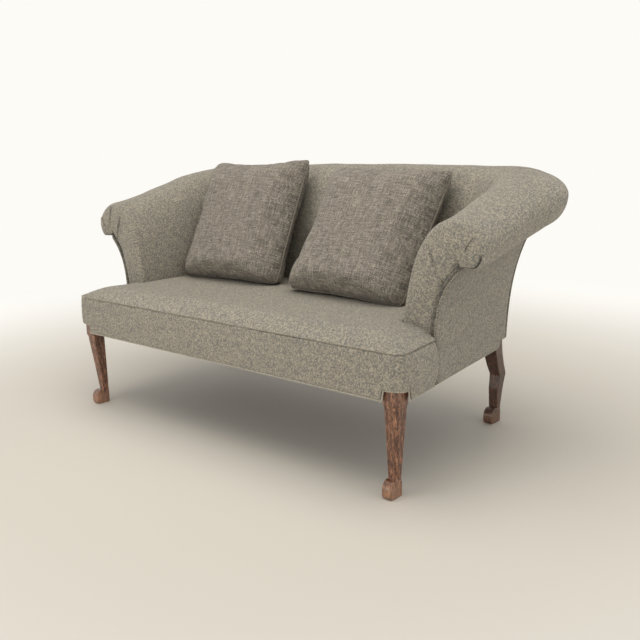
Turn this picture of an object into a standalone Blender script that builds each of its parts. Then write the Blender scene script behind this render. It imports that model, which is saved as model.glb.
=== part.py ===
# Rolled arm sofa: hardwood frame, zigzag springs, tight T-shaped seat, rolled arms and back, loose pillows.
# Metres, +Z up. In the working frame y = 0 is the front face of the front legs and +Y runs to the back;
# the empty at the end of the file carries every piece and puts the origin under the middle of the sofa.

import math

import bmesh
import bpy
from mathutils import Euler, Matrix, Vector
from mathutils.bvhtree import BVHTree
from mathutils.geometry import interpolate_bezier

# Clearances
GAP = 0.0004
SOFT_GAP = 0.0006

# Plan of the frame: half width over the front legs, what it loses to the rear, and its depth
FRONT_HALF = 0.711
REAR_INSET = 0.082
FRAME_DEPTH = 0.715

# Seat rails
RAIL_BOTTOM = 0.284
RAIL_HEIGHT = 0.086
RAIL_T = 0.028
RAIL_INSET = 0.004

# Front legs: square top block, tapering on the front and outer faces to a scroll toe
FRONT_LEG = 0.046
BLOCK_DROP = 0.009
BLOCK_STEP = 0.004
BLOCK_COVE = 0.016
ANKLE_RISE = 0.003
ANKLE_WIDTH = 0.026
ANKLE_DEPTH = 0.021
FOOT_WIDTH = 0.034
FOOT_REACH = 0.006
FOOT_HEIGHT = 0.053
TOE_DROP = 0.014
TOE_ROUND = 0.45
HEEL_RISE = 0.80
LEG_EASE = 0.002
HEEL = 0.001

# Rear legs: each runs up as the back post; they sweep back to a hock, then forward to a scroll toe
REAR_LEG_WIDTH = 0.047
REAR_LEG_DEPTH = 0.048
KNEE_Z = 0.168
KNEE_BACK = 0.050
KNEE_DEPTH = 0.044
KNEE_SPREAD = 0.4
CALF_RISE = 0.55
CALF_BLEND = 0.45
THIGH_DROP = 0.037
THIGH_BACK = 0.010
THIGH_SWELL = 0.006
BEND_RISE = 0.42
BEND_BLEND = 0.5
REAR_ANKLE_BACK = 0.029
REAR_ANKLE_DEPTH = 0.023
REAR_ANKLE_WIDTH = 0.032
REAR_FOOT_INSET = 0.015
REAR_FOOT_REACH = 0.041
POST_DROP = 0.068
POST_TOP_DEPTH = 0.036
POST_SPLAY = 0.020

# Corner blocks and their screws
BLOCK_ARM = 0.090
BLOCK_HEIGHT = 0.060
SCREW_SHANK_R = 0.0025
SCREW_HEAD_R = 0.0046
SCREW_HEAD_T = 0.0030
SCREW_PLACE = 0.036
SCREW_BITE = 0.020
SCREW_SINK = 0.006
SCREW_SIDES = 10

# Seat brace, springs, deck and stuffing
BRACE_WIDTH = 0.040
BRACE_HEIGHT = 0.060
SPRING_WIRE_R = 0.0018
SPRING_COUNT = 6
SPRING_SPACING = 0.184
SPRING_SWING = 0.025
SPRING_PITCH = 0.060
SPRING_STEPS = 6
DECK_T = 0.002
CORE_T = 0.040
CORE_CHAMFER = 0.016

# Covers: cord, border round the front of the seat, outside panels and dust cover
WELT_R = 0.003
HEM_DROP = 0.011
BORDER_T = 0.010
BORDER_CORNER_R = 0.030
NOTCH_RISE = 0.029
NOTCH_EASE = 0.006
PANEL_T = 0.010
DUST_T = 0.001
FLARE_FRONT = 0.080
FLARE_REAR = 0.094
FLARE_POWER_FRONT = 4.7
FLARE_POWER_REAR = 3.0
WAIST = 0.004
BACK_RAKE = 0.036

# Seat pad: crowned, with a rolled-down edge along the front and the ends of the T
PAD_EDGE = 0.005
PAD_EDGE_INSET = 0.001
SEAT_RISE = 0.016
SEAT_ROLL = 0.045
SEAT_CROWN = 0.006

# Rolled arms and back: one swept section whose height, reach and roll grow from arm front to back.
# Its rises are over the seat rails, and the arm and back thicknesses are to the frame's outer line.
ARM_FRONT_Y = 0.187
ARM_FRONT_T = 0.022
ARM_FRONT_EASE = 0.010
ARM_REAR_T = 0.042
BACK_INSET = 0.125
SEAT_CORNER_R = 0.030
PAD_T = 0.024
FRONT_RISE = 0.365
CORNER_RISE = 0.489
BACK_RISE = 0.498
FRONT_CROWN = 0.154
BACK_CROWN = 0.140
FRONT_REACH = 0.247
BACK_REACH = 0.292
FRONT_HALF_ROLL = 0.062
BACK_HALF_ROLL = 0.069
UNDER_R = 0.055
INSIDE_LIFT = 0.190
FRONT_PULL = 0.096
BACK_PULL = 0.146
OGEE = 0.5
CLIMB_END = 0.6
CORNER_TUCK = 0.045
CORNER_REACH = 0.004

# Frame inside the arms and back
STUMP_T = 0.036
ARM_RAIL_WIDTH = 0.024
ARM_RAIL_HEIGHT = 0.024
ARM_RAIL_OUT = 0.158
ARM_RAIL_REAR_DROP = 0.112
TACK_RISE = 0.035
TACK_HEIGHT = 0.045
TACK_T = 0.022
CREST_HEIGHT = 0.045
CREST_T = 0.034
CREST_DROP = 0.010
CREST_CROWN = 0.016
BACK_CLEAR = 0.004
UPRIGHT_WIDTH = 0.050
UPRIGHT_T = 0.026

# Loose pillows, each leaning on the back with its lower edge on the seat: the left one stands aside from
# its arm, and the right one takes a share of the room that is left
PILLOW_SIZE = 0.480
PILLOW_HALF_THICK = 0.090
PILLOW_DRAW = 0.055
PILLOW_FULLNESS = 0.75
PILLOW_WELT_R = 0.003
PILLOW_GRID = 14
LEFT_PILLOW_ASIDE = 0.011
LEFT_PILLOW_TILT = math.radians(26)
LEFT_PILLOW_YAW = math.radians(1)
LEFT_PILLOW_SPIN = math.radians(-1.2)
RIGHT_PILLOW_SHARE = 0.52
RIGHT_PILLOW_TILT = math.radians(33.5)
RIGHT_PILLOW_YAW = math.radians(-2)
RIGHT_PILLOW_SPIN = math.radians(1.2)

# Facets
INSIDE_STEPS = 8
ROLL_STEPS = 5
ARM_STATIONS = 6
CORNER_STATIONS = 3
BACK_STATIONS = 4
CORNER_STEPS = 4
LINE_STEPS = 6
WING_ROWS = 3
NECK_ROWS = 4
NECK_COLUMNS = 5
MITRE_LIMIT = 0.5
SETTLE_ROUNDS = 4

# Heights and lines that follow from the sizes above
REAR_HALF = FRONT_HALF - REAR_INSET
ARM_BASE = REAR_HALF - ARM_REAR_T
BACK_BASE = FRAME_DEPTH - BACK_INSET
RAIL_TOP = RAIL_BOTTOM + RAIL_HEIGHT
SPRING_Z = RAIL_TOP + GAP + SPRING_WIRE_R
DECK_Z = SPRING_Z + SPRING_WIRE_R + GAP
CORE_Z = DECK_Z + DECK_T + GAP
PAD_Z = CORE_Z + CORE_T + GAP
SEAT_WELT_Z = PAD_Z - GAP - WELT_R
BORDER_TOP = SEAT_WELT_Z - WELT_R - GAP
HEM_Z = RAIL_BOTTOM - HEM_DROP
NOTCH_TOP = HEM_Z + NOTCH_RISE
BLOCK_BOTTOM = HEM_Z - BLOCK_DROP
THIGH_Z = RAIL_BOTTOM - THIGH_DROP
ANKLE_Z = FOOT_HEIGHT + ANKLE_RISE
HEM_WELT_Z = HEM_Z + WELT_R
COVER_BOTTOM = HEM_WELT_Z + WELT_R + GAP
BORDER_OUT = GAP + BORDER_T
PANEL_OUT = GAP + PANEL_T
NOTCH = FRONT_LEG + NOTCH_EASE
REAR_NOTCH = REAR_LEG_DEPTH + NOTCH_EASE
FRONT_TOP = RAIL_TOP + FRONT_RISE
CORNER_TOP = RAIL_TOP + CORNER_RISE
BACK_TOP = RAIL_TOP + BACK_RISE
CORNER_ARC = math.pi / 2
STRAIGHT_RUN = BACK_BASE - SEAT_CORNER_R - ARM_FRONT_Y
CORNER_RUN = CORNER_ARC * (SEAT_CORNER_R + BACK_CROWN)
TACK_Z = CORE_Z + TACK_RISE
TACK_TOP = TACK_Z + TACK_HEIGHT
POST_Z = TACK_TOP + TACK_HEIGHT
POST_TOP = BACK_TOP - POST_DROP
FRONT_LEG_OUT = FRONT_HALF - REAR_INSET * FRONT_LEG / FRAME_DEPTH
FRONT_LEG_IN = FRONT_LEG_OUT - FRONT_LEG
REAR_LEG_IN = REAR_HALF - REAR_LEG_WIDTH
EASE_Z = NOTCH_TOP - 2 * (WELT_R + GAP) - LEG_EASE
LEFT_PILLOW_X = LEFT_PILLOW_ASIDE + PILLOW_SIZE / 2 - ARM_BASE
PILLOW_ROOM = 2 * (ARM_BASE - PILLOW_SIZE) - LEFT_PILLOW_ASIDE
RIGHT_PILLOW_X = LEFT_PILLOW_X + PILLOW_SIZE + PILLOW_ROOM * RIGHT_PILLOW_SHARE


# Materials

def linear(channel):
    if channel <= 0.04045:
        return channel / 12.92
    return ((channel + 0.055) / 1.055) ** 2.4


def make_material(name, red, green, blue, roughness, metallic=0.0):
    material = bpy.data.materials.new(name)
    material.use_nodes = True
    shader = material.node_tree.nodes["Principled BSDF"]
    colour = [linear(value / 255) for value in (red, green, blue)]
    shader.inputs["Base Color"].default_value = (*colour, 1.0)
    shader.inputs["Roughness"].default_value = roughness
    shader.inputs["Metallic"].default_value = metallic
    return material


# Building blocks

def add_solid(name, mesh_data, material):
    bmesh.ops.remove_doubles(mesh_data, verts=mesh_data.verts, dist=1e-6)
    bmesh.ops.recalc_face_normals(mesh_data, faces=mesh_data.faces)
    if mesh_data.calc_volume(signed=True) < 0:
        bmesh.ops.reverse_faces(mesh_data, faces=mesh_data.faces)
    mesh = bpy.data.meshes.new(name)
    mesh_data.to_mesh(mesh)
    mesh_data.free()
    piece = bpy.data.objects.new(name, mesh)
    piece.data.materials.append(material)
    bpy.context.scene.collection.objects.link(piece)
    return piece


def add_loft(name, rings, material):
    mesh_data = bmesh.new()
    loops = [[mesh_data.verts.new(point) for point in ring] for ring in rings]
    count = len(rings[0])
    for near, far in zip(loops, loops[1:]):
        for i in range(count):
            j = (i + 1) % count
            mesh_data.faces.new((near[i], near[j], far[j], far[i]))
    mesh_data.faces.new(loops[0])
    mesh_data.faces.new(loops[-1])
    return add_solid(name, mesh_data, material)


def add_prism(name, outline, low, high, material):
    rings = [[(x, y, z) for x, y in outline] for z in (low, high)]
    return add_loft(name, rings, material)


def add_box(name, corner, size, material):
    mesh_data = bmesh.new()
    bmesh.ops.create_cube(mesh_data, size=1.0)
    bmesh.ops.scale(mesh_data, vec=size, verts=mesh_data.verts)
    piece = add_solid(name, mesh_data, material)
    piece.location = Vector(corner) + Vector(size) / 2
    return piece


def add_tube(name, points, radius, material, cyclic=False, roundness=1):
    curve = bpy.data.curves.new(name, "CURVE")
    curve.dimensions = "3D"
    curve.bevel_depth = radius
    curve.bevel_resolution = roundness
    curve.use_fill_caps = True
    spline = curve.splines.new("POLY")
    spline.points.add(len(points) - 1)
    for spot, point in zip(spline.points, points):
        spot.co = (*point, 1.0)
    spline.use_cyclic_u = cyclic
    guide = bpy.data.objects.new(name + "_guide", curve)
    bpy.context.scene.collection.objects.link(guide)
    bpy.context.view_layer.update()
    mesh_data = bmesh.new()
    mesh_data.from_mesh(guide.to_mesh())
    guide.to_mesh_clear()
    bpy.data.objects.remove(guide)
    return add_solid(name, mesh_data, material)


def add_sheet(name, outer, inner, material):
    mesh_data = bmesh.new()
    faces = [[[mesh_data.verts.new(point) for point in row] for row in side] for side in (outer, inner)]
    rows = len(outer)
    columns = len(outer[0])
    for side in faces:
        for i in range(rows - 1):
            for j in range(columns - 1):
                mesh_data.faces.new((side[i][j], side[i][j + 1], side[i + 1][j + 1], side[i + 1][j]))
    front, back = faces
    for i in range(rows - 1):
        for j in (0, columns - 1):
            mesh_data.faces.new((front[i][j], front[i + 1][j], back[i + 1][j], back[i][j]))
    for j in range(columns - 1):
        for i in (0, rows - 1):
            mesh_data.faces.new((front[i][j], front[i][j + 1], back[i][j + 1], back[i][j]))
    return add_solid(name, mesh_data, material)


def boolean(piece, tool, operation):
    modifier = piece.modifiers.new(operation.lower(), "BOOLEAN")
    modifier.operation = operation
    modifier.solver = "EXACT"
    modifier.object = tool
    bpy.context.view_layer.update()
    solved = piece.evaluated_get(bpy.context.evaluated_depsgraph_get())
    mesh = bpy.data.meshes.new_from_object(solved)
    piece.modifiers.clear()
    piece.data = mesh
    bpy.data.objects.remove(tool)


def lerp(start, end, share):
    return start + (end - start) * share


def mirrored(points, side):
    return [(side * x, *rest) for x, *rest in points]


def arc_points(centre, radius_a, radius_b, start, end, steps):
    angles = [lerp(start, end, i / steps) for i in range(steps + 1)]
    return [(centre[0] + radius_a * math.cos(a), centre[1] + radius_b * math.sin(a)) for a in angles]


def side_x(y):
    return lerp(FRONT_HALF, REAR_HALF, y / FRAME_DEPTH)


# Section of the arms and back, in (out from the seat, height)

def ogee(share):
    smooth = share * share * (3 - 2 * share)
    return OGEE * smooth + (1 - OGEE) * share


class Station:
    # One place along the run from the front of the right arm to the middle of the back.

    def __init__(self, run):
        turn = (run - STRAIGHT_RUN) / (SEAT_CORNER_R + BACK_CROWN)
        self.turn = min(max(turn, 0.0), CORNER_ARC)
        past = run - STRAIGHT_RUN - CORNER_RUN
        self.along = min(run, STRAIGHT_RUN)
        self.out = Vector((math.cos(self.turn), math.sin(self.turn)))
        centre = Vector((ARM_BASE - SEAT_CORNER_R, BACK_BASE - SEAT_CORNER_R))
        self.point = centre + self.out * SEAT_CORNER_R
        self.point.y -= STRAIGHT_RUN - self.along
        self.point.x -= max(past, 0.0)
        half_back = ARM_BASE - SEAT_CORNER_R
        self.back = min(max(past, 0.0) / half_back, 1.0)
        arm = min(run / STRAIGHT_RUN, 1.0)
        rise = min(run / (STRAIGHT_RUN + CORNER_RUN), 1.0)
        climb = min(run / (STRAIGHT_RUN + CORNER_RUN * CLIMB_END), 1.0)
        self.top = lerp(FRONT_TOP, CORNER_TOP, ogee(climb))
        self.top += (BACK_TOP - CORNER_TOP) * self.back * (2 - self.back)
        self.crown = lerp(FRONT_CROWN, BACK_CROWN, arm)
        self.pull = lerp(FRONT_PULL, BACK_PULL, arm)
        self.reach = lerp(FRONT_REACH, BACK_REACH, rise)
        self.half = lerp(FRONT_HALF_ROLL, BACK_HALF_ROLL, climb)
        self.low = self.top - 2 * self.half
        share = self.turn / CORNER_ARC
        swell = math.sin(math.pi * share)
        self.reach += CORNER_REACH * swell
        arm_tuck = arm_top_x(self.point.y) - PANEL_OUT - ARM_BASE
        back_tuck = FRAME_DEPTH + BACK_RAKE - BACK_BASE
        self.tuck = lerp(arm_tuck, back_tuck, share) + CORNER_TUCK * swell

    def place(self, points, slide=0.0):
        ahead = Vector((-self.out.y, self.out.x)) * slide
        spots = [self.point + self.out * u + ahead for u, z in points]
        return [(spot.x, spot.y, z) for spot, (u, z) in zip(spots, points)]


def arm_flare(y):
    return lerp(FLARE_FRONT, FLARE_REAR, (y - ARM_FRONT_Y) / (FRAME_DEPTH - ARM_FRONT_Y))


def arm_top_x(y):
    return side_x(y) + PANEL_OUT + arm_flare(y)


def cover_profile(station):
    base = Vector((0.0, CORE_Z))
    top = Vector((station.crown, station.top))
    lift = base + Vector((0.0, INSIDE_LIFT))
    pull = top - Vector((station.pull, 0.0))
    inside = [tuple(p) for p in interpolate_bezier(base, lift, pull, top, INSIDE_STEPS + 1)]
    mid = station.top - station.half
    right = math.pi / 2
    wide = station.reach - station.crown
    over = arc_points((station.crown, mid), wide, station.half, right, 0.0, ROLL_STEPS)
    under = arc_points((station.reach - UNDER_R, mid), UNDER_R, station.half, 0.0, -right, ROLL_STEPS)
    return inside + over[1:] + under[1:] + [(station.tuck, station.low)]


def inset_profile(profile, depth):
    points = [Vector(p) for p in profile]
    moved = []
    for i, point in enumerate(points):
        before = (point - points[i - 1]).normalized() if i > 0 else None
        after = (points[i + 1] - point).normalized() if i + 1 < len(points) else None
        first = before or after
        second = after or before
        way = (first + second).normalized()
        reach = depth / max(way.dot(first), MITRE_LIMIT)
        moved.append((point.x + way.y * reach, point.y - way.x * reach))
    return moved


def lining_out(station, height):
    lining = inset_profile(cover_profile(station), PAD_T)
    for (near, low), (far, high) in zip(lining, lining[1:]):
        if low <= height <= high:
            return lerp(near, far, (height - low) / (high - low))
    return lining[0][0]


def back_tack_front():
    return BACK_BASE + lining_out(Station(STRAIGHT_RUN + CORNER_RUN), TACK_TOP) + GAP


def back_frame_front(height):
    return BACK_BASE + lining_out(Station(STRAIGHT_RUN + CORNER_RUN), height) + BACK_CLEAR


def roll_ring(station, slide=0.0):
    cover = cover_profile(station)
    lining = inset_profile(cover, PAD_T)
    return station.place(cover + lining[::-1], slide)


def run_list():
    start = ARM_FRONT_T + GAP
    stump_end = start + STUMP_T
    arm = [start, start + STUMP_T / 2]
    arm += [lerp(stump_end, STRAIGHT_RUN, i / ARM_STATIONS) for i in range(ARM_STATIONS)]
    step = CORNER_RUN / 2 / CORNER_STATIONS
    half_corner = [STRAIGHT_RUN + step * i for i in range(CORNER_STATIONS + 1)]
    rest_corner = [run + CORNER_RUN / 2 for run in half_corner]
    half_back = ARM_BASE - SEAT_CORNER_R
    back = [rest_corner[-1] + half_back * i / BACK_STATIONS for i in range(1, BACK_STATIONS + 1)]
    return arm + half_corner, rest_corner + back


def inside_arm(side, name, material):
    arm_runs, _ = run_list()
    rings = [roll_ring(Station(run)) for run in arm_runs[:-1]]
    rings.append(roll_ring(Station(arm_runs[-1]), -GAP / 2))
    return add_loft(name, [mirrored(ring, side) for ring in rings], material)


def inside_back(material):
    _, back_runs = run_list()
    half = [roll_ring(Station(back_runs[0]), GAP / 2)]
    half += [roll_ring(Station(run)) for run in back_runs[1:]]
    other = [mirrored(ring, -1) for ring in half[-2::-1]]
    return add_loft("inside_back", half + other, material)


def low_at_y(y):
    return Station(y - ARM_FRONT_Y).low if y < BACK_BASE - SEAT_CORNER_R else corner_low(y)


def corner_low(y):
    turn = min((y - BACK_BASE + SEAT_CORNER_R) / (FRAME_DEPTH - BACK_BASE + SEAT_CORNER_R), 1.0)
    return Station(STRAIGHT_RUN + turn * CORNER_RUN / 2).low


def low_at_x(x):
    half_back = ARM_BASE - SEAT_CORNER_R
    past = half_back - abs(x)
    if past >= 0:
        return Station(STRAIGHT_RUN + CORNER_RUN + past).low
    turn = min(-past / (REAR_HALF + FLARE_REAR - half_back), 1.0)
    return Station(STRAIGHT_RUN + CORNER_RUN * (1 - turn / 2)).low


def outside_x(y, z):
    share = (z - COVER_BOTTOM) / (low_at_y(y) - COVER_BOTTOM)
    share = min(max(share, 0.0), 1.0)
    back = (y - ARM_FRONT_Y) / (FRAME_DEPTH - ARM_FRONT_Y)
    waist = lerp(WAIST, 0.0, back)
    power = lerp(FLARE_POWER_FRONT, FLARE_POWER_REAR, back)
    bulge = arm_flare(y) * share ** power - waist * math.sin(math.pi * share)
    return side_x(y) + PANEL_OUT + bulge


def back_y(z):
    share = (z - COVER_BOTTOM) / (Station(STRAIGHT_RUN + CORNER_RUN).low - COVER_BOTTOM)
    return FRAME_DEPTH + PANEL_OUT + BACK_RAKE * share


def closing_line(station, y, foot, spare):
    # Inner face of the outside panel, sampled at the panel's own heights, from the roll down to the foot.
    heights = [lerp(station.low, COVER_BOTTOM, i / LINE_STEPS) for i in range(LINE_STEPS + 1)]
    line = [(outside_x(y, z) - PANEL_OUT - spare - ARM_BASE, z) for z in heights]
    kept = [point for point in line if point[1] > foot]
    (near, high), (far, low) = line[len(kept) - 1], line[len(kept)]
    return kept + [(lerp(near, far, (foot - high) / (low - high)), foot)]


def arm_front(side, name, material):
    rings = []
    for run, ease in ((0.0, ARM_FRONT_EASE), (ARM_FRONT_EASE, 0.0), (ARM_FRONT_T, 0.0)):
        station = Station(run)
        cover = inset_profile(cover_profile(station), ease)
        closing = closing_line(station, ARM_FRONT_Y + run, CORE_Z, GAP)
        rings.append(mirrored(station.place(cover[:-1] + closing), side))
    return add_loft(name, rings, material)


def arm_stump(side, name, material):
    rings = []
    start = ARM_FRONT_T + GAP
    for run in (start, start + STUMP_T / 2, start + STUMP_T):
        station = Station(run)
        lining = inset_profile(cover_profile(station), PAD_T + GAP)
        foot = RAIL_TOP + GAP
        closing = closing_line(station, ARM_FRONT_Y + run, foot, 2 * GAP)
        neck = [(closing[0][0], lining[-1][1])]
        outline = [(lining[0][0], foot)] + lining[:-1] + neck + closing
        rings.append(mirrored(station.place(outline), side))
    return add_loft(name, rings, material)


def arm_rail(side, name, material):
    half_wide = ARM_RAIL_WIDTH / 2
    half_high = ARM_RAIL_HEIGHT / 2
    front_run = ARM_FRONT_T + GAP + STUMP_T + GAP
    front = Station(front_run)
    rear_z = Station(STRAIGHT_RUN + CORNER_RUN / 2).top - ARM_RAIL_REAR_DROP - ARM_RAIL_HEIGHT
    rear_x = post_out(rear_z + half_high) + GAP + half_wide
    ends = (
        (ARM_BASE + ARM_RAIL_OUT, ARM_FRONT_Y + front_run, front.top - front.half),
        (rear_x, FRAME_DEPTH, rear_z),
    )
    signs = ((-1, -1), (1, -1), (1, 1), (-1, 1))
    rings = [[(x + a * half_wide, y, z + b * half_high) for a, b in signs] for x, y, z in ends]
    return add_loft(name, [mirrored(ring, side) for ring in rings], material)


def arm_tack_rail(side, name, material):
    run = ARM_FRONT_T + GAP + STUMP_T + GAP
    start = ARM_FRONT_Y + run
    inner = ARM_BASE + lining_out(Station(run), TACK_TOP) + GAP
    end = back_tack_front() - GAP
    corner = (inner if side > 0 else -inner - TACK_T, start, TACK_Z)
    return add_box(name, corner, (TACK_T, end - start, TACK_HEIGHT), material)


def outside_arm(side, name, material):
    rises = [i / LINE_STEPS for i in range(LINE_STEPS + 1)]
    arm_runs, _ = run_list()
    columns = [ARM_FRONT_Y] + [ARM_FRONT_Y + run for run in arm_runs[:-CORNER_STATIONS]]
    corner_y = BACK_BASE - SEAT_CORNER_R
    columns += [lerp(corner_y, FRAME_DEPTH, share) for share in (0.5, 1.0)]
    outer = []
    inner = []
    for column_y in columns:
        row = []
        for rise in rises:
            z = lerp(COVER_BOTTOM, low_at_y(column_y) - GAP, rise)
            share = max(column_y - corner_y, 0.0) / (FRAME_DEPTH - corner_y)
            y = column_y + share * (back_y(z) - PANEL_T - GAP - FRAME_DEPTH)
            row.append((side * outside_x(y, z), y, z))
        outer.append(row)
        inner.append([(x - side * PANEL_T, y, z) for x, y, z in row])
    panel = add_sheet(name, outer, inner, material)
    wide = 2 * PANEL_OUT + FLARE_REAR
    low = HEM_Z
    start = FRAME_DEPTH - REAR_NOTCH
    corner = (side * side_x(FRAME_DEPTH) - wide, start, low)
    cutter = add_box(name + "_notch", corner, (2 * wide, 2 * REAR_NOTCH, NOTCH_TOP - low), material)
    boolean(panel, cutter, "DIFFERENCE")
    return panel


def outside_back(material):
    half_back = ARM_BASE - SEAT_CORNER_R
    edge = arm_top_x(FRAME_DEPTH)
    right = [half_back * i / BACK_STATIONS for i in range(1, BACK_STATIONS + 1)]
    right += [lerp(half_back, edge, 0.5), edge]
    rises = [i / LINE_STEPS for i in range(LINE_STEPS + 1)]
    outer = []
    inner = []
    for top_x in [-x for x in right[::-1]] + [0.0] + right:
        row = []
        for rise in rises:
            z = lerp(COVER_BOTTOM, low_at_x(top_x) - GAP, rise)
            x = top_x / edge * outside_x(back_y(z) - PANEL_T, z)
            row.append((x, back_y(z), z))
        outer.append(row)
        inner.append([(x, y - PANEL_T, z) for x, y, z in row])
    panel = add_sheet("outside_back", outer, inner, material)
    for side in (-1, 1):
        corner = (side * REAR_HALF - REAR_NOTCH, FRAME_DEPTH - REAR_NOTCH, HEM_Z)
        size = (2 * REAR_NOTCH, 2 * REAR_NOTCH, NOTCH_TOP - HEM_Z)
        cutter = add_box("back_notch", corner, size, material)
        boolean(panel, cutter, "DIFFERENCE")
    return panel


# Border round the front of the seat, with cords along its edges

def border_line(offset):
    # From the arm seam on the left, round both front corners, to the arm seam on the right.
    end = ARM_FRONT_Y - GAP
    radius = BORDER_CORNER_R - BORDER_OUT + offset
    centre_y = BORDER_CORNER_R - BORDER_OUT
    centre_x = side_x(centre_y) - centre_y
    corner = arc_points((centre_x, centre_y), radius, radius, -math.pi / 2, 0.0, CORNER_STEPS)
    right = corner + [(side_x(end) + offset, end)]
    return [(-x, y) for x, y in right[::-1]] + right


def front_border(material):
    outer = border_line(BORDER_OUT)
    inner = border_line(GAP)
    heights = (COVER_BOTTOM, BORDER_TOP)
    front = [[(x, y, z) for z in heights] for x, y in outer]
    rear = [[(x, y, z) for z in heights] for x, y in inner]
    border = add_sheet("front_border", front, rear, material)
    for side in (-1, 1):
        corner = (side * FRONT_LEG_OUT - NOTCH, -NOTCH, HEM_Z)
        cutter = add_box("leg_notch", corner, (2 * NOTCH, 2 * NOTCH, NOTCH_TOP - HEM_Z), material)
        boolean(border, cutter, "DIFFERENCE")
    return border


def seat_welt(material):
    points = [(x, y, SEAT_WELT_Z) for x, y in border_line(BORDER_OUT - WELT_R)]
    return add_tube("seat_welt", points, WELT_R, material)


def bottom_welt(material):
    # Along each side, up and round the leg notches, and along the front, as one cord.
    high = NOTCH_TOP - GAP - WELT_R
    low = HEM_WELT_Z
    offset = BORDER_OUT / 2
    clear = GAP + WELT_R
    right = [(x, y) for x, y in border_line(offset) if x > 0]
    rear_y = FRAME_DEPTH - REAR_NOTCH
    front_x = FRONT_LEG_OUT - NOTCH + clear
    side_y = NOTCH - clear
    panel_mid = GAP + PANEL_T / 2
    path = [(front_x, right[0][1], low), (front_x, right[0][1], high)]
    path += [(x, y, high) for x, y in right if y < side_y]
    path.append((side_x(side_y) + offset, side_y, high))
    path.append((side_x(side_y) + offset, side_y, low))
    path.append((side_x(ARM_FRONT_Y) + panel_mid, ARM_FRONT_Y, low))
    path.append((side_x(rear_y) + panel_mid, rear_y - clear, low))
    return add_tube("bottom_welt", mirrored(path, -1)[::-1] + path, WELT_R, material)


def back_welt(material):
    clear = GAP + WELT_R
    x = REAR_HALF - REAR_NOTCH - clear
    y = FRAME_DEPTH + GAP + PANEL_T / 2
    return add_tube("back_welt", [(-x, y, HEM_WELT_Z), (x, y, HEM_WELT_Z)], WELT_R, material)


# Seat: springs, deck, stuffing and the crowned T-shaped pad

def seat_spring(index, material):
    x = (index - (SPRING_COUNT - 1) / 2) * SPRING_SPACING
    start = RAIL_INSET + RAIL_T / 2
    end = FRAME_DEPTH - RAIL_INSET - RAIL_T / 2
    turns = round((end - start) / SPRING_PITCH)
    steps = SPRING_STEPS * turns
    points = []
    for i in range(steps + 1):
        swing = SPRING_SWING * math.sin(2 * math.pi * i / SPRING_STEPS)
        points.append((x + swing, lerp(start, end, i / steps), SPRING_Z))
    return add_tube("seat_spring_%d" % (index + 1), points, SPRING_WIRE_R, material, roundness=0)


def t_outline(side_inset, front_y, wing_end, chamfer):
    wing_x = side_x(front_y + chamfer) - side_inset
    seam_x = side_x(wing_end) - side_inset
    neck = ARM_BASE - GAP
    right = [
        (wing_x - chamfer, front_y),
        (wing_x, front_y + chamfer),
        (seam_x, wing_end),
        (neck, wing_end),
        (neck, BACK_BASE - SEAT_CORNER_R),
        (ARM_BASE - SEAT_CORNER_R, BACK_BASE - GAP),
    ]
    return right + [(-x, y) for x, y in right[::-1]]


def spring_deck(material):
    outline = t_outline(GAP, RAIL_INSET, ARM_FRONT_Y - GAP, CORE_CHAMFER)
    return add_prism("spring_deck", outline, DECK_Z, DECK_Z + DECK_T, material)


def seat_core(material):
    outline = t_outline(GAP, RAIL_INSET, ARM_FRONT_Y - GAP, CORE_CHAMFER)
    return add_prism("seat_core", outline, CORE_Z, CORE_Z + CORE_T, material)


def seat_height(x, y, edge_x):
    front = y + BORDER_OUT
    end = edge_x - abs(x) if y < ARM_FRONT_Y else edge_x
    roll = (1 - math.exp(-max(front, 0.0) / SEAT_ROLL)) * (1 - math.exp(-max(end, 0.0) / SEAT_ROLL))
    crown = math.cos(0.5 * math.pi * min(abs(x) / edge_x, 1.0))
    return PAD_Z + PAD_EDGE + SEAT_RISE * roll + SEAT_CROWN * crown * roll


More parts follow.
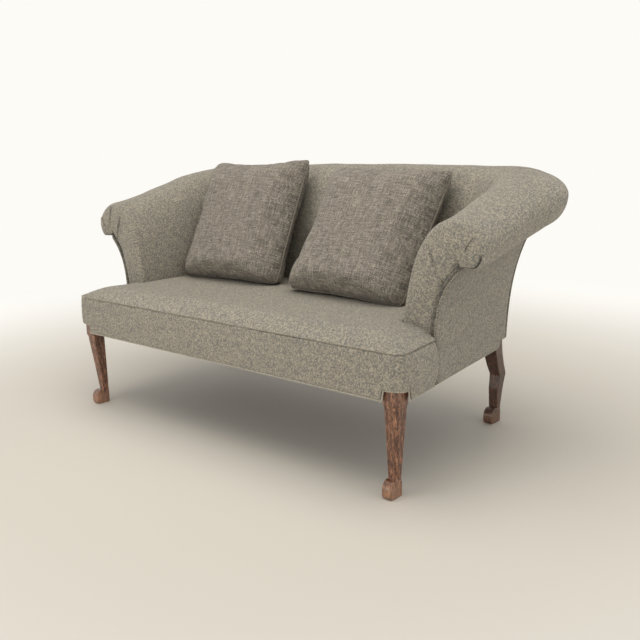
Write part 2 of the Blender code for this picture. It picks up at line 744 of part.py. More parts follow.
def seat_pad(material):
    # A grid whose two outer columns on each side stop at the arms, which leaves the T.
    neck = ARM_BASE - GAP
    front_y = -BORDER_OUT + PAD_EDGE_INSET
    wing_end = ARM_FRONT_Y - GAP
    round_y = front_y + BORDER_CORNER_R
    rows = [front_y, round_y]
    rows += [lerp(round_y, wing_end, (i + 1) / WING_ROWS) for i in range(WING_ROWS)]
    back_end = BACK_BASE - GAP
    rows += [lerp(wing_end, back_end, (i + 1) / NECK_ROWS) for i in range(NECK_ROWS)]
    shares = [i / NECK_COLUMNS for i in range(NECK_COLUMNS + 1)]
    last_wing_row = WING_ROWS + 1
    mesh_data = bmesh.new()
    grid = {}
    for i, y in enumerate(rows):
        edge_x = side_x(max(y, 0.0)) + BORDER_OUT - PAD_EDGE_INSET
        columns = [share * neck for share in shares] + [edge_x - BORDER_CORNER_R, edge_x]
        for j, x in enumerate(columns):
            spot_x = x
            spot_y = y
            if i == 0 and j == len(columns) - 1:
                spot_x -= BORDER_CORNER_R * (1 - math.sqrt(0.5))
                spot_y += BORDER_CORNER_R * (1 - math.sqrt(0.5))
            if i == len(rows) - 1 and j == len(shares) - 1:
                spot_x -= SEAT_CORNER_R * (1 - math.sqrt(0.5))
                spot_y -= SEAT_CORNER_R * (1 - math.sqrt(0.5))
            if i > last_wing_row and j >= len(shares):
                continue
            z = seat_height(spot_x, spot_y, edge_x)
            grid[i, j] = mesh_data.verts.new((spot_x, spot_y, z))
            if j > 0:
                grid[i, -j] = mesh_data.verts.new((-spot_x, spot_y, z))
    span = range(-len(shares) - 1, len(shares) + 1)
    for i in range(len(rows) - 1):
        for j in span:
            corners = [(i, j), (i, j + 1), (i + 1, j + 1), (i + 1, j)]
            if all(corner in grid for corner in corners):
                mesh_data.faces.new([grid[corner] for corner in corners])
    grown = bmesh.ops.extrude_face_region(mesh_data, geom=list(mesh_data.faces))
    for item in grown["geom"]:
        if isinstance(item, bmesh.types.BMVert):
            item.co.z = PAD_Z
    return add_solid("seat_pad", mesh_data, material)


def dust_cover(material):
    high = RAIL_BOTTOM - GAP
    front = RAIL_INSET
    rear = FRAME_DEPTH - RAIL_INSET
    notch_y = FRONT_LEG + GAP
    rear_y = FRAME_DEPTH - REAR_LEG_DEPTH - GAP
    right = [
        (FRONT_LEG_IN - GAP, front),
        (FRONT_LEG_IN - GAP, notch_y),
        (side_x(notch_y) - RAIL_INSET, notch_y),
        (side_x(rear_y) - RAIL_INSET, rear_y),
        (REAR_LEG_IN - GAP, rear_y),
        (REAR_LEG_IN - GAP, rear),
    ]
    outline = right + [(-x, y) for x, y in right[::-1]]
    return add_prism("dust_cover", outline, high - DUST_T, high, material)


# Seat frame

def side_rail(side, name, material):
    start = FRONT_LEG + GAP
    end = FRAME_DEPTH - REAR_LEG_DEPTH - GAP
    outline = [
        (side_x(start) - RAIL_INSET, start),
        (side_x(end) - RAIL_INSET, end),
        (side_x(end) - RAIL_INSET - RAIL_T, end),
        (side_x(start) - RAIL_INSET - RAIL_T, start),
    ]
    return add_prism(name, mirrored(outline, side), RAIL_BOTTOM, RAIL_TOP, material)


def front_rail(material):
    half = FRONT_LEG_IN - GAP
    corner = (-half, RAIL_INSET, RAIL_BOTTOM)
    return add_box("front_seat_rail", corner, (2 * half, RAIL_T, RAIL_HEIGHT), material)


def rear_rail(material):
    half = REAR_LEG_IN - GAP
    corner = (-half, FRAME_DEPTH - RAIL_INSET - RAIL_T, RAIL_BOTTOM)
    return add_box("rear_seat_rail", corner, (2 * half, RAIL_T, RAIL_HEIGHT), material)


def seat_brace(material):
    start = RAIL_INSET + RAIL_T + GAP
    length = FRAME_DEPTH - 2 * start
    corner = (-BRACE_WIDTH / 2, start, RAIL_BOTTOM + GAP)
    return add_box("seat_brace", corner, (BRACE_WIDTH, length, BRACE_HEIGHT), material)


def block_outline(front):
    # Plan of a right-hand block: along the cross rail, round the leg's inner corner, along the side rail.
    leg_depth = FRONT_LEG if front else REAR_LEG_DEPTH
    leg_x = (FRONT_LEG_IN if front else REAR_LEG_IN) - GAP
    rail_y = RAIL_INSET + RAIL_T + GAP
    leg_y = leg_depth + GAP
    end_y = leg_y + BLOCK_ARM

    def frame_y(y):
        return y if front else FRAME_DEPTH - y

    def rail_x(y):
        return side_x(frame_y(y)) - RAIL_INSET - RAIL_T - GAP

    points = [(leg_x - BLOCK_ARM, rail_y), (leg_x, rail_y), (leg_x, leg_y), (rail_x(leg_y), leg_y)]
    points.append((rail_x(end_y), end_y))
    return [(x, frame_y(y)) for x, y in points]


def screw_rings(spare, head_length):
    head = SCREW_HEAD_R + spare
    shank = SCREW_SHANK_R + spare
    return ((-head_length, head), (spare, head), (spare, shank))


def add_screw(name, head, way, length, spare, head_length, material):
    side = Vector((0.0, 0.0, 1.0))
    other = way.cross(side)
    shape = [*screw_rings(spare, head_length), (length + spare, SCREW_SHANK_R + spare)]
    rings = []
    for distance, radius in shape:
        angles = [2 * math.pi * i / SCREW_SIDES for i in range(SCREW_SIDES)]
        centre = head + way * distance
        rings.append([tuple(centre + (side * math.cos(a) + other * math.sin(a)) * radius) for a in angles])
    return add_loft(name, rings, material)


def corner_block(corner, side, pieces, wood, steel):
    # One block with a screw into the cross rail and one into the side rail.
    front = corner.startswith("front")
    outline = block_outline(front)
    middle = (RAIL_BOTTOM + RAIL_TOP) / 2
    low = middle - BLOCK_HEIGHT / 2
    block = add_prism(corner + "_block", mirrored(outline, side), low, low + BLOCK_HEIGHT, wood)
    start, at_rail, _, at_side, end = [Vector(point) for point in outline]
    slope = end - start
    seat_y = at_rail.y + (SCREW_SINK + SCREW_BITE if front else -SCREW_SINK - SCREW_BITE)
    first = Vector((start.x + slope.x * (seat_y - start.y) / slope.y + SCREW_PLACE / 2, seat_y))
    second_y = lerp(at_side.y, end.y, SCREW_PLACE / BLOCK_ARM)
    face_x = start.x + slope.x * (second_y - start.y) / slope.y
    second = Vector((face_x + SCREW_SINK, second_y))
    rail_face = lerp(at_side.x, end.x, SCREW_PLACE / BLOCK_ARM)
    cross_rail = pieces["front_seat_rail" if front else "rear_seat_rail"]
    side_rail_piece = pieces[side_name(side) + "_seat_rail"]
    jobs = (
        ("end", first, Vector((0.0, -1.0 if front else 1.0)), abs(seat_y - at_rail.y), cross_rail),
        ("side", second, Vector((1.0, 0.0)), rail_face - second.x, side_rail_piece),
    )
    made = [block]
    for label, head, way, depth, rail in jobs:
        length = depth + SCREW_BITE
        head_spot = Vector((side * head.x, head.y, middle))
        aim = Vector((side * way.x, way.y, 0.0))
        for target in (block, rail):
            cutter = add_screw("cutter", head_spot, aim, length, GAP, BLOCK_ARM, steel)
            boolean(target, cutter, "DIFFERENCE")
        name = "%s_%s_screw" % (corner, label)
        made.append(add_screw(name, head_spot, aim, length, 0.0, SCREW_HEAD_T, steel))
    return made


def side_name(side):
    return "right" if side > 0 else "left"


# Legs

def foot_outline(toe, heel):
    # Side view of a scroll toe in (y, z): sole, heel, instep and the rounded toe.
    top_r = (heel - toe) * TOE_ROUND
    middle = FOOT_HEIGHT / 2
    top = arc_points((toe + top_r, middle), top_r, middle, math.pi / 2, math.pi, ROLL_STEPS)
    low = arc_points((toe + TOE_DROP, TOE_DROP), TOE_DROP, TOE_DROP, math.pi, 1.5 * math.pi, ROLL_STEPS)
    return [(heel, 0.0), (heel, FOOT_HEIGHT * HEEL_RISE)] + top + low


def add_foot(name, inner, width, toe, heel, material):
    outline = foot_outline(toe, heel)
    rings = [[(x, y, z) for y, z in outline] for x in (inner, inner + width)]
    return add_loft(name, rings, material)


def leg_ring(z, inner, outer, front, back, ease):
    front_edge = [(inner, front, z), (outer - ease, front, z), (outer, front + ease, z)]
    return front_edge + [(outer, back, z), (inner, back, z)]


def front_leg(side, name, material):
    outer = FRONT_LEG_OUT
    inner = FRONT_LEG_IN
    back = FRONT_LEG
    hidden_ease = BORDER_CORNER_R / 2
    under = BLOCK_BOTTOM - BLOCK_COVE
    ankle = (inner, inner + ANKLE_WIDTH, back - ANKLE_DEPTH, back, LEG_EASE)
    rings = [
        leg_ring(ANKLE_Z / 2, *ankle),
        leg_ring(ANKLE_Z, *ankle),
        leg_ring(under, inner + BLOCK_STEP / 2, outer - BLOCK_STEP, BLOCK_STEP, back, LEG_EASE),
        leg_ring(BLOCK_BOTTOM, inner, outer, 0.0, back, LEG_EASE),
        leg_ring(EASE_Z, inner, outer, 0.0, back, LEG_EASE),
        leg_ring(EASE_Z + LEG_EASE, inner, outer, 0.0, back, hidden_ease),
        leg_ring(RAIL_TOP, inner, outer, 0.0, back, hidden_ease),
    ]
    leg = add_loft(name, [mirrored(ring, side) for ring in rings], material)
    foot_inner = inner - (FOOT_WIDTH - ANKLE_WIDTH) / 2
    foot = add_foot(name + "_foot", foot_inner, FOOT_WIDTH, -FOOT_REACH, back + HEEL, material)
    foot.data.transform(Matrix.Scale(side, 4, (1.0, 0.0, 0.0)))
    if side < 0:
        foot.data.flip_normals()
    boolean(leg, foot, "UNION")
    return leg


def post_out(z):
    return REAR_HALF + POST_SPLAY * (z - POST_Z) / (POST_TOP - POST_Z)


def rear_leg(side, name, material):
    outer = REAR_HALF
    inner = REAR_LEG_IN
    back = FRAME_DEPTH
    front = back - REAR_LEG_DEPTH
    foot_out = outer - REAR_FOOT_INSET
    ankle_in = foot_out - REAR_ANKLE_WIDTH
    ankle_back = back + REAR_ANKLE_BACK
    knee_back = back + KNEE_BACK
    ankle = (ankle_in, foot_out, ankle_back - REAR_ANKLE_DEPTH, ankle_back, LEG_EASE)
    knee_in = lerp(ankle_in, inner, KNEE_SPREAD)
    knee_out = lerp(foot_out, outer, KNEE_SPREAD)
    knee = (knee_in, knee_out, knee_back - KNEE_DEPTH, knee_back, LEG_EASE)
    thigh = (inner, outer, front + THIGH_BACK, back + THIGH_SWELL, LEG_EASE)
    rail = (inner, outer, front, back, LEG_EASE)
    calf = [lerp(near, far, CALF_BLEND) for near, far in zip(ankle, knee)]
    bend = [lerp(near, far, BEND_BLEND) for near, far in zip(knee, thigh)]
    tack_front = back_tack_front() + TACK_T + GAP
    post_front = back_frame_front(POST_TOP)
    post_back = post_front + POST_TOP_DEPTH
    lean = (POST_Z - TACK_TOP) / (POST_TOP - TACK_TOP)
    rings = [
        leg_ring(ANKLE_Z / 2, *ankle),
        leg_ring(ANKLE_Z, *ankle),
        leg_ring(lerp(ANKLE_Z, KNEE_Z, CALF_RISE), *calf),
        leg_ring(KNEE_Z, *knee),
        leg_ring(lerp(KNEE_Z, THIGH_Z, BEND_RISE), *bend),
        leg_ring(THIGH_Z, *thigh),
        leg_ring(RAIL_BOTTOM, *rail),
        leg_ring(RAIL_TOP, *rail),
        leg_ring(TACK_Z - TACK_T, *rail),
        leg_ring(TACK_Z, inner, outer, tack_front, back, LEG_EASE),
        leg_ring(TACK_TOP, inner, outer, tack_front, back, LEG_EASE),
        leg_ring(POST_Z, inner, outer, tack_front, lerp(back, post_back, lean), LEG_EASE),
        leg_ring(POST_TOP, inner, post_out(POST_TOP), post_front, post_back, LEG_EASE),
    ]
    leg = add_loft(name, [mirrored(ring, side) for ring in rings], material)
    foot_in = ankle_in - HEEL
    foot_width = REAR_ANKLE_WIDTH + 2 * HEEL
    toe = ankle_back - REAR_ANKLE_DEPTH - REAR_FOOT_REACH
    foot = add_foot(name + "_foot", foot_in, foot_width, toe, ankle_back + HEEL, material)
    foot.data.transform(Matrix.Scale(side, 4, (1.0, 0.0, 0.0)))
    if side < 0:
        foot.data.flip_normals()
    boolean(leg, foot, "UNION")
    return leg


# Back frame

def back_tack_rail(material):
    half = REAR_HALF - LEG_EASE
    corner = (-half, back_tack_front(), TACK_Z)
    return add_box("back_tack_rail", corner, (2 * half, TACK_T, TACK_HEIGHT), material)


def crest_line(x):
    half = REAR_LEG_IN
    low = POST_TOP - CREST_DROP - CREST_HEIGHT
    return low + CREST_CROWN * (1 - (x / half) ** 2)


def crest_rail(material):
    half = REAR_LEG_IN - GAP
    front = back_frame_front(crest_line(0.0) + CREST_HEIGHT)
    back = front + CREST_T
    rings = []
    for i in range(2 * BACK_STATIONS + 1):
        x = lerp(-half, half, i / (2 * BACK_STATIONS))
        low = crest_line(x)
        high = low + CREST_HEIGHT
        rings.append([(x, front, low), (x, back, low), (x, back, high), (x, front, high)])
    return add_loft("crest_rail", rings, material)


def back_upright(material):
    half = UPRIGHT_WIDTH / 2
    foot_front = FRAME_DEPTH - RAIL_INSET - UPRIGHT_T
    head_front = back_frame_front(crest_line(0.0) + CREST_HEIGHT)
    ends = ((RAIL_TOP + GAP, foot_front), (crest_line(half) - GAP, head_front))
    rings = []
    for z, front in ends:
        back = front + UPRIGHT_T
        rings.append([(-half, front, z), (half, front, z), (half, back, z), (-half, back, z)])
    return add_loft("back_upright", rings, material)


# Pillows

def pillow_spot(u, v):
    # Seam-plane position for grid shares in -1..1: the sides and top draw in between the corners.
    half = PILLOW_SIZE / 2
    x = u * half * (1 - PILLOW_DRAW * (1 - v * v))
    draw = PILLOW_DRAW * (1 - u * u) if v > 0 else 0.0
    z = v * half * (1 - draw)
    return x, z


def pillow_depth(u, v):
    flat = (1 - u * u) * (1 - v * v)
    return PILLOW_HALF_THICK * math.sqrt(max(flat, 0.0)) * lerp(PILLOW_FULLNESS, 1.0, flat)


def pillow(name, material):
    shares = [-math.cos(math.pi * i / PILLOW_GRID) for i in range(PILLOW_GRID + 1)]
    mesh_data = bmesh.new()
    sheets = []
    for sign in (-1, 1):
        rows = []
        for v in shares:
            row = []
            for u in shares:
                x, z = pillow_spot(u, v)
                row.append(mesh_data.verts.new((x, sign * pillow_depth(u, v), z)))
            rows.append(row)
        sheets.append(rows)
    for rows in sheets:
        for i in range(PILLOW_GRID):
            for j in range(PILLOW_GRID):
                mesh_data.faces.new((rows[i][j], rows[i][j + 1], rows[i + 1][j + 1], rows[i + 1][j]))
    return add_solid(name, mesh_data, material)


def pillow_welt(name, material):
    shares = [-math.cos(math.pi * i / PILLOW_GRID) for i in range(PILLOW_GRID)]
    edge = [(u, -1.0) for u in shares] + [(1.0, v) for v in shares]
    edge += [(-u, 1.0) for u in shares] + [(-1.0, -v) for v in shares]
    clear = PILLOW_WELT_R + GAP
    spots = [Vector(pillow_spot(u, v)) for u, v in edge]
    points = []
    for i, spot in enumerate(spots):
        before = (spot - spots[i - 1]).normalized()
        after = (spots[(i + 1) % len(spots)] - spot).normalized()
        way = (before + after).normalized()
        reach = clear / max(way.dot(before), MITRE_LIMIT)
        points.append((spot.x + way.y * reach, 0.0, spot.y - way.x * reach))
    return add_tube(name, points, PILLOW_WELT_R, material, cyclic=True)


def surface_tree(piece):
    vertices = [piece.matrix_world @ vertex.co for vertex in piece.data.vertices]
    return BVHTree.FromPolygons(vertices, [list(face.vertices) for face in piece.data.polygons])


def free_way(spots, tree, way):
    distances = [tree.ray_cast(spot, way)[3] for spot in spots]
    return min(distance for distance in distances if distance is not None)


def settle_pillow(parts, x, turns, seat, back):
    # Drops the pillow on to the seat and slides it back to the inside back, until both are a soft gap away.
    turn = Euler(turns).to_matrix()
    seat_tree = surface_tree(seat)
    back_tree = surface_tree(back)
    local = [turn @ vertex.co for part in parts for vertex in part.data.vertices]
    place = Vector((x, ARM_FRONT_Y + PILLOW_SIZE / 4, PAD_Z + PILLOW_SIZE))
    down = Vector((0.0, 0.0, -1.0))
    rear = Vector((0.0, 1.0, 0.0))
    for _ in range(SETTLE_ROUNDS):
        for tree, way in ((seat_tree, down), (back_tree, rear)):
            spots = [place + spot for spot in local]
            place += way * (free_way(spots, tree, way) - SOFT_GAP)
    for part in parts:
        part.rotation_euler = turns
        part.location = place


def make_pillow(side, x, turns, cloth, cord, seat, back):
    name = side_name(side) + "_pillow"
    parts = [pillow(name, cloth), pillow_welt(name + "_welt", cord)]
    settle_pillow(parts, x, turns, seat, back)
    return parts


def main():
    for old in list(bpy.data.objects):
        bpy.data.objects.remove(old, do_unlink=True)
    leg_wood = make_material("stained_oak", 84, 56, 38, 0.45)
    frame_wood = make_material("hardwood_frame", 176, 141, 98, 0.6)
    steel = make_material("bright_steel", 150, 150, 152, 0.35, 1.0)
    tweed = make_material("tweed_cover", 122, 114, 104, 0.95)
    tweed_cord = make_material("tweed_cord", 112, 105, 96, 0.95)
    linen = make_material("pillow_linen", 118, 110, 98, 0.95)
    linen_cord = make_material("pillow_cord", 110, 102, 92, 0.95)
    hessian = make_material("hessian", 158, 132, 92, 0.95)
    stuffing = make_material("stuffing", 214, 205, 184, 0.95)
    lining = make_material("black_lining", 34, 33, 33, 0.95)

    pieces = {}

    def keep(piece):
        pieces[piece.name] = piece

    keep(front_rail(frame_wood))
    keep(rear_rail(frame_wood))
    keep(seat_brace(frame_wood))
    for side in (-1, 1):
        name = side_name(side)
        keep(side_rail(side, name + "_seat_rail", frame_wood))
        keep(front_leg(side, "front_%s_leg" % name, leg_wood))
        keep(rear_leg(side, "rear_%s_leg" % name, leg_wood))
        for corner in ("front_" + name, "rear_" + name):
            for piece in corner_block(corner, side, pieces, frame_wood, steel):
                keep(piece)
        keep(arm_stump(side, name + "_arm_stump", frame_wood))
        keep(arm_rail(side, name + "_arm_rail", frame_wood))
        keep(arm_tack_rail(side, name + "_arm_tack_rail", frame_wood))
        keep(inside_arm(side, name + "_inside_arm", tweed))
        keep(arm_front(side, name + "_arm_front", tweed))
        keep(outside_arm(side, name + "_outside_arm", tweed))
    keep(back_tack_rail(frame_wood))
    keep(crest_rail(frame_wood))
    keep(back_upright(frame_wood))
    keep(inside_back(tweed))
    keep(outside_back(tweed))
    for index in range(SPRING_COUNT):
        keep(seat_spring(index, steel))
    keep(spring_deck(hessian))
    keep(seat_core(stuffing))
    keep(seat_pad(tweed))
    keep(front_border(tweed))
    keep(seat_welt(tweed_cord))
    keep(bottom_welt(tweed_cord))
    keep(back_welt(tweed_cord))
    keep(dust_cover(lining))
    seat = pieces["seat_pad"]
    back = pieces["inside_back"]
    left_turns = (-LEFT_PILLOW_TILT, LEFT_PILLOW_SPIN, LEFT_PILLOW_YAW)
    for piece in make_pillow(-1, LEFT_PILLOW_X, left_turns, linen, linen_cord, seat, back):
        keep(piece)
    right_turns = (-RIGHT_PILLOW_TILT, RIGHT_PILLOW_SPIN, RIGHT_PILLOW_YAW)
    for piece in make_pillow(1, RIGHT_PILLOW_X, right_turns, linen, linen_cord, seat, back):
        keep(piece)

    root = bpy.data.objects.new("sofa_origin", None)
    bpy.context.scene.collection.objects.link(root)
    for piece in pieces.values():
        piece.parent = root
    root.location.y = (BORDER_OUT - BACK_BASE - BACK_REACH) / 2
    bpy.context.view_layer.update()


main()
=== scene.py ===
import math

import bmesh
import bpy
import numpy as np
from mathutils import Euler, Matrix, Vector, noise
from mathutils.bvhtree import BVHTree


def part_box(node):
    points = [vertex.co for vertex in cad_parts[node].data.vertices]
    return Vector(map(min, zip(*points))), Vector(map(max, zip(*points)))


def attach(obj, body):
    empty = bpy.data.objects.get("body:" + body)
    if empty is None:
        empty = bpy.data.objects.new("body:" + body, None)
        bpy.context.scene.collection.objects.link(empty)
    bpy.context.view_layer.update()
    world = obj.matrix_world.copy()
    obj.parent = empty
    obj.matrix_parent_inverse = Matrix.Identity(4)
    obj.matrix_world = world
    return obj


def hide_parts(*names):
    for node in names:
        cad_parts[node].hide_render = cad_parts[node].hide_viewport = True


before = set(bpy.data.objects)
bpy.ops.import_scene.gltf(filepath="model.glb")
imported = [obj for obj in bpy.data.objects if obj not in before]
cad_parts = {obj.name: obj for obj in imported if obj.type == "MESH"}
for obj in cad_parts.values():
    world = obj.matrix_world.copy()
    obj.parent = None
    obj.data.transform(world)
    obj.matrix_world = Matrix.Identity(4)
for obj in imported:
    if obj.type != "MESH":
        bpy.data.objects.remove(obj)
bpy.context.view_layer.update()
print("frame loaded:", len(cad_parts), "solids")

# Sizes shared by the covers, in metres, with y counted from the face of the front legs
sofa = {
    "frontHalf": 0.711, "rearHalf": 0.629, "depth": 0.715, "armFrontY": 0.187, "gap": 0.0004,
    "armBase": 0.587, "backBase": 0.590, "seatCorner": 0.030, "coreZ": 0.3768, "legInset": 0.0053,
    "frontTop": 0.735, "cornerTop": 0.859, "backTop": 0.868, "ogee": 0.5, "climbEnd": 0.6,
    "frontCrown": 0.154, "backCrown": 0.140, "frontReach": 0.252, "backReach": 0.292, "cornerReach": 0.004,
    "frontRoll": 0.062, "backRoll": 0.069, "frontUnder": 0.030, "underRound": 0.055, "underRun": 0.14,
    "insideLift": 0.190, "frontPull": 0.096, "backPull": 0.146, "cornerTuck": 0.045, "backRake": 0.036,
    "lipDrop": 0.009, "tailDraw": 0.010, "lipRun": 0.09,
    "seamDip": 0.0035, "seamWide": 0.0055, "seamGap": 0.0003, "seamInside": 0.22,
    "flareFront": 0.080, "flareRear": 0.094, "frontPower": 4.7, "rearPower": 3.0, "waist": 0.004,
    "panelOut": 0.0104, "panelDepth": 0.010, "coverBottom": 0.2794, "notchTop": 0.302, "rearNotch": 0.050,
}
sides = {-1: "left", 1: "right"}
straightRun = sofa["backBase"] - sofa["seatCorner"] - sofa["armFrontY"]
cornerRun = (sofa["seatCorner"] + sofa["backCrown"]) * math.pi / 2
seamRun = straightRun + cornerRun / 2
halfBack = sofa["armBase"] - sofa["seatCorner"]
originY = (sofa["panelOut"] - sofa["backBase"] - sofa["backReach"]) / 2


def lerp(start, end, share):
    return start + (end - start) * share


def clamp(value, low=0.0, high=1.0):
    return min(max(value, low), high)


def ease(share):
    share = clamp(share)
    return share * share * (3 - 2 * share)


def hump(distance, width):
    return math.exp(-(distance / width) ** 2)


def colour(code):
    # sRGB hex to linear
    channels = [int(code[i:i + 2], 16) / 255 for i in (0, 2, 4)]
    return [c / 12.92 if c < 0.04045 else ((c + 0.055) / 1.055) ** 2.4 for c in channels] + [1.0]


def feed(tree, node, inputs):
    # an input takes a plain value, or the socket that drives it
    for key, value in inputs.items():
        if isinstance(value, bpy.types.NodeSocket):
            tree.links.new(value, node.inputs[key])
        else:
            node.inputs[key].default_value = value


def addNode(tree, kind, inputs=None, **settings):
    # kind is the node's type without its tree's prefix
    prefix = "" if kind.startswith("NodeGroup") else tree.bl_idname.replace("Tree", "")
    node = tree.nodes.new(prefix + kind)
    for key, value in settings.items():
        setattr(node, key, value)
    feed(tree, node, inputs or {})
    return node


def newMaterial(name, inputs):
    material = bpy.data.materials.new(name)
    material.use_nodes = True
    shader = material.node_tree.nodes["Principled BSDF"]
    feed(material.node_tree, shader, inputs)
    return material, material.node_tree, shader


def colourSteps(ramp, steps):
    elements = ramp.color_ramp.elements
    while len(elements) < len(steps):
        elements.new(0.5)
    for element, (place, code) in zip(elements, steps):
        element.position = place
        element.color = colour(code)


# Cloths. Pitch is the spacing of the threads in metres, drawn coarser than the real cloth so that it shows.
# Float is how slowly a yarn's tone changes along it, mix how much of the tone is the yarn's and the fleck's.
cloths = {
    "hopsackTweed": {  # thick mixed yarns, grey with slate, taupe and straw flecks, dry and matt
        "pitch": 0.0036, "float": 1.4, "relief": 0.0012, "gap": 0.34, "mix": (0.24, 0.58),
        "yarns": [(0.10, "666a6b"), (0.34, "8b8a85"), (0.52, "a29c90"), (0.70, "b7af9f"), (0.92, "d6cdb9")],
        "drift": ("a0988a", "8d8b86"), "sheen": 0.20, "rough": 0.92,
    },
    "slubLinen": {  # finer plain weave with uneven slubs, a little browner and darker than the cover
        "pitch": 0.0029, "float": 5.0, "relief": 0.0009, "gap": 0.26, "mix": (0.80, 0.40),
        "yarns": [(0.10, "55544f"), (0.34, "7b766f"), (0.52, "908a80"), (0.70, "a49c94"), (0.92, "c6beb1")],
        "drift": ("8f887d", "827d77"), "sheen": 0.14, "rough": 0.90,
    },
    "juteHessian": {  # open coarse jute, straw brown
        "pitch": 0.0048, "float": 5.0, "relief": 0.0010, "gap": 0.55, "mix": (0.60, 0.30),
        "yarns": [(0.10, "6a5232"), (0.34, "977a4e"), (0.52, "a88a5c"), (0.70, "b99c6c"), (0.92, "c8af84")],
        "drift": ("a88a5c", "96794e"), "sheen": 0.05, "rough": 0.95,
    },
    "blackCambric": {  # thin non-woven lining, dull black with a faint pressed grid
        "pitch": 0.0040, "float": 1.0, "relief": 0.0003, "gap": 0.20, "mix": (0.20, 0.60),
        "yarns": [(0.10, "161616"), (0.34, "1f1f1f"), (0.52, "252524"), (0.70, "2d2c2b"), (0.92, "383736")],
        "drift": ("252525", "1e1e1f"), "sheen": 0.08, "rough": 0.85,
    },
}
# the painted shade read from the seam attribute darkens the cloth by up to 0.62
weave = {"swayScale": 34.0, "sway": 0.007, "seeds": (3.7, 8.3), "spread": 2.2, "cloudScale": 3.2,
         "tint": 0.16, "shadeDarkening": 0.62, "lift": 0.4, "bump": 0.7}


def wovenCloth(name):
    # every crossing shows one thread: its yarn's own tone, how that drifts along it, and a fleck of its own
    look = cloths[name]
    material, tree, shader = newMaterial(name, {
        "Roughness": look["rough"], "IOR": 1.46, "Sheen Weight": look["sheen"], "Sheen Roughness": 0.55,
        "Specular IOR Level": 0.18})
    uv = addNode(tree, "UVMap", uv_map="UVMap").outputs["UV"]
    sway = addNode(tree, "TexNoise", {"Scale": weave["swayScale"], "Detail": 2.0, "Vector": uv})
    shift = addNode(tree, "VectorMath", {0: sway.outputs["Color"], 1: (0.5, 0.5, 0.5)},
                    operation="SUBTRACT").outputs[0]
    bent = addNode(tree, "VectorMath", {0: shift, 1: (weave["sway"], weave["sway"], 0.0), 2: uv},
                   operation="MULTIPLY_ADD").outputs[0]
    laid = addNode(tree, "VectorMath", {0: bent, "Scale": 1 / look["pitch"]}, operation="SCALE").outputs[0]
    cell = addNode(tree, "VectorMath", {0: laid}, operation="FLOOR").outputs[0]
    place = addNode(tree, "SeparateXYZ", {0: laid}).outputs
    thread = addNode(tree, "SeparateXYZ", {0: cell}).outputs
    crossing = addNode(tree, "Math", {0: thread["X"], 1: thread["Y"]}, operation="ADD").outputs[0]
    parity = addNode(tree, "Math", {0: crossing, 1: 2.0}, operation="FLOORED_MODULO").outputs[0]
    tones = []
    bulges = []
    for own, other, seed in zip("XY", "YX", weave["seeds"]):
        number = addNode(tree, "Math", {0: thread[own], 1: seed}, operation="MULTIPLY").outputs[0]
        along = addNode(tree, "Math", {0: place[other], 1: 3.0 * look["float"]}, operation="DIVIDE")
        code = addNode(tree, "CombineXYZ", {0: number, 1: along.outputs[0]}).outputs[0]
        tone = addNode(tree, "TexNoise", {"Scale": 1.0, "Detail": 1.0, "Vector": code})
        tones.append(tone.outputs["Fac"])
        across = addNode(tree, "Math", {0: place[own]}, operation="FRACT").outputs[0]
        angle = addNode(tree, "Math", {0: across, 1: math.pi}, operation="MULTIPLY").outputs[0]
        bulges.append(addNode(tree, "Math", {0: angle}, operation="SINE").outputs[0])
    shown, bulge = (addNode(tree, "Mix", {0: parity, 2: pair[0], 3: pair[1]}, data_type="FLOAT").outputs[0]
                    for pair in (tones, bulges))
    fleck = addNode(tree, "TexWhiteNoise", {"Vector": cell}, noise_dimensions="2D").outputs["Value"]
    slow = look["mix"][0] * weave["spread"]
    quick = look["mix"][1]
    drawn = addNode(tree, "Math", {0: shown, 1: slow, 2: 0.5 - 0.5 * slow - 0.5 * quick},
                    operation="MULTIPLY_ADD").outputs[0]
    yarn = addNode(tree, "Math", {0: fleck, 1: quick, 2: drawn}, operation="MULTIPLY_ADD").outputs[0]
    ramp = addNode(tree, "ValToRGB", {"Fac": yarn})
    colourSteps(ramp, look["yarns"])
    cloud = addNode(tree, "TexNoise", {"Scale": weave["cloudScale"], "Detail": 3.0, "Vector": uv})
    drift = addNode(tree, "Mix", {0: cloud.outputs["Fac"], 6: colour(look["drift"][0]),
                                            7: colour(look["drift"][1])}, data_type="RGBA").outputs[2]
    shade = addNode(tree, "Mix", {0: weave["tint"], 6: ramp.outputs["Color"], 7: drift},
                    data_type="RGBA").outputs[2]
    # each thread is round, and falls away into the gap at its sides, where its colour is darkened as painted
    # shade
    full = addNode(tree, "Math", {0: bulge}, operation="SQRT").outputs[0]
    hollow = addNode(tree, "Math", {0: full, 1: look["gap"], 2: 1 - look["gap"]}, operation="MULTIPLY_ADD")
    # painted shade in seams and folds and under the roll's overhang, read from the seam attribute
    seam = addNode(tree, "Attribute", attribute_name="seam").outputs["Fac"]
    shadeDarkening = addNode(tree, "Math", {0: seam, 1: -weave["shadeDarkening"], 2: 1.0}, operation="MULTIPLY_ADD")
    for dim in (hollow, shadeDarkening):
        shade = addNode(tree, "Mix", {0: 1.0, 6: shade, 7: dim.outputs[0]}, data_type="RGBA",
                        blend_type="MULTIPLY").outputs[2]
    height = addNode(tree, "Math", {0: yarn, 1: weave["lift"], 2: bulge}, operation="MULTIPLY_ADD")
    bump = addNode(tree, "Bump", {"Strength": weave["bump"], "Distance": look["relief"],
                                            "Height": height.outputs[0]})
    feed(tree, shader, {"Base Color": shade, "Normal": bump.outputs["Normal"]})
    return material


cords = {  # covered piping: the cloth wrapped on the bias, so its threads run round in a slow twist
    "tweedPiping": {"twist": 0.0075, "colours": ("5f605f", "928c80", "bdb5a4"), "relief": 0.0008},
    # the hem cord is paler than the cover: a painted highlight along the hem
    "hemPiping": {"twist": 0.0075, "colours": ("93908a", "b6b0a3", "cfc8b9"), "relief": 0.0005},
    "linenPiping": {"twist": 0.0055, "colours": ("54524d", "7d766d", "9a9287"), "relief": 0.0005},
}


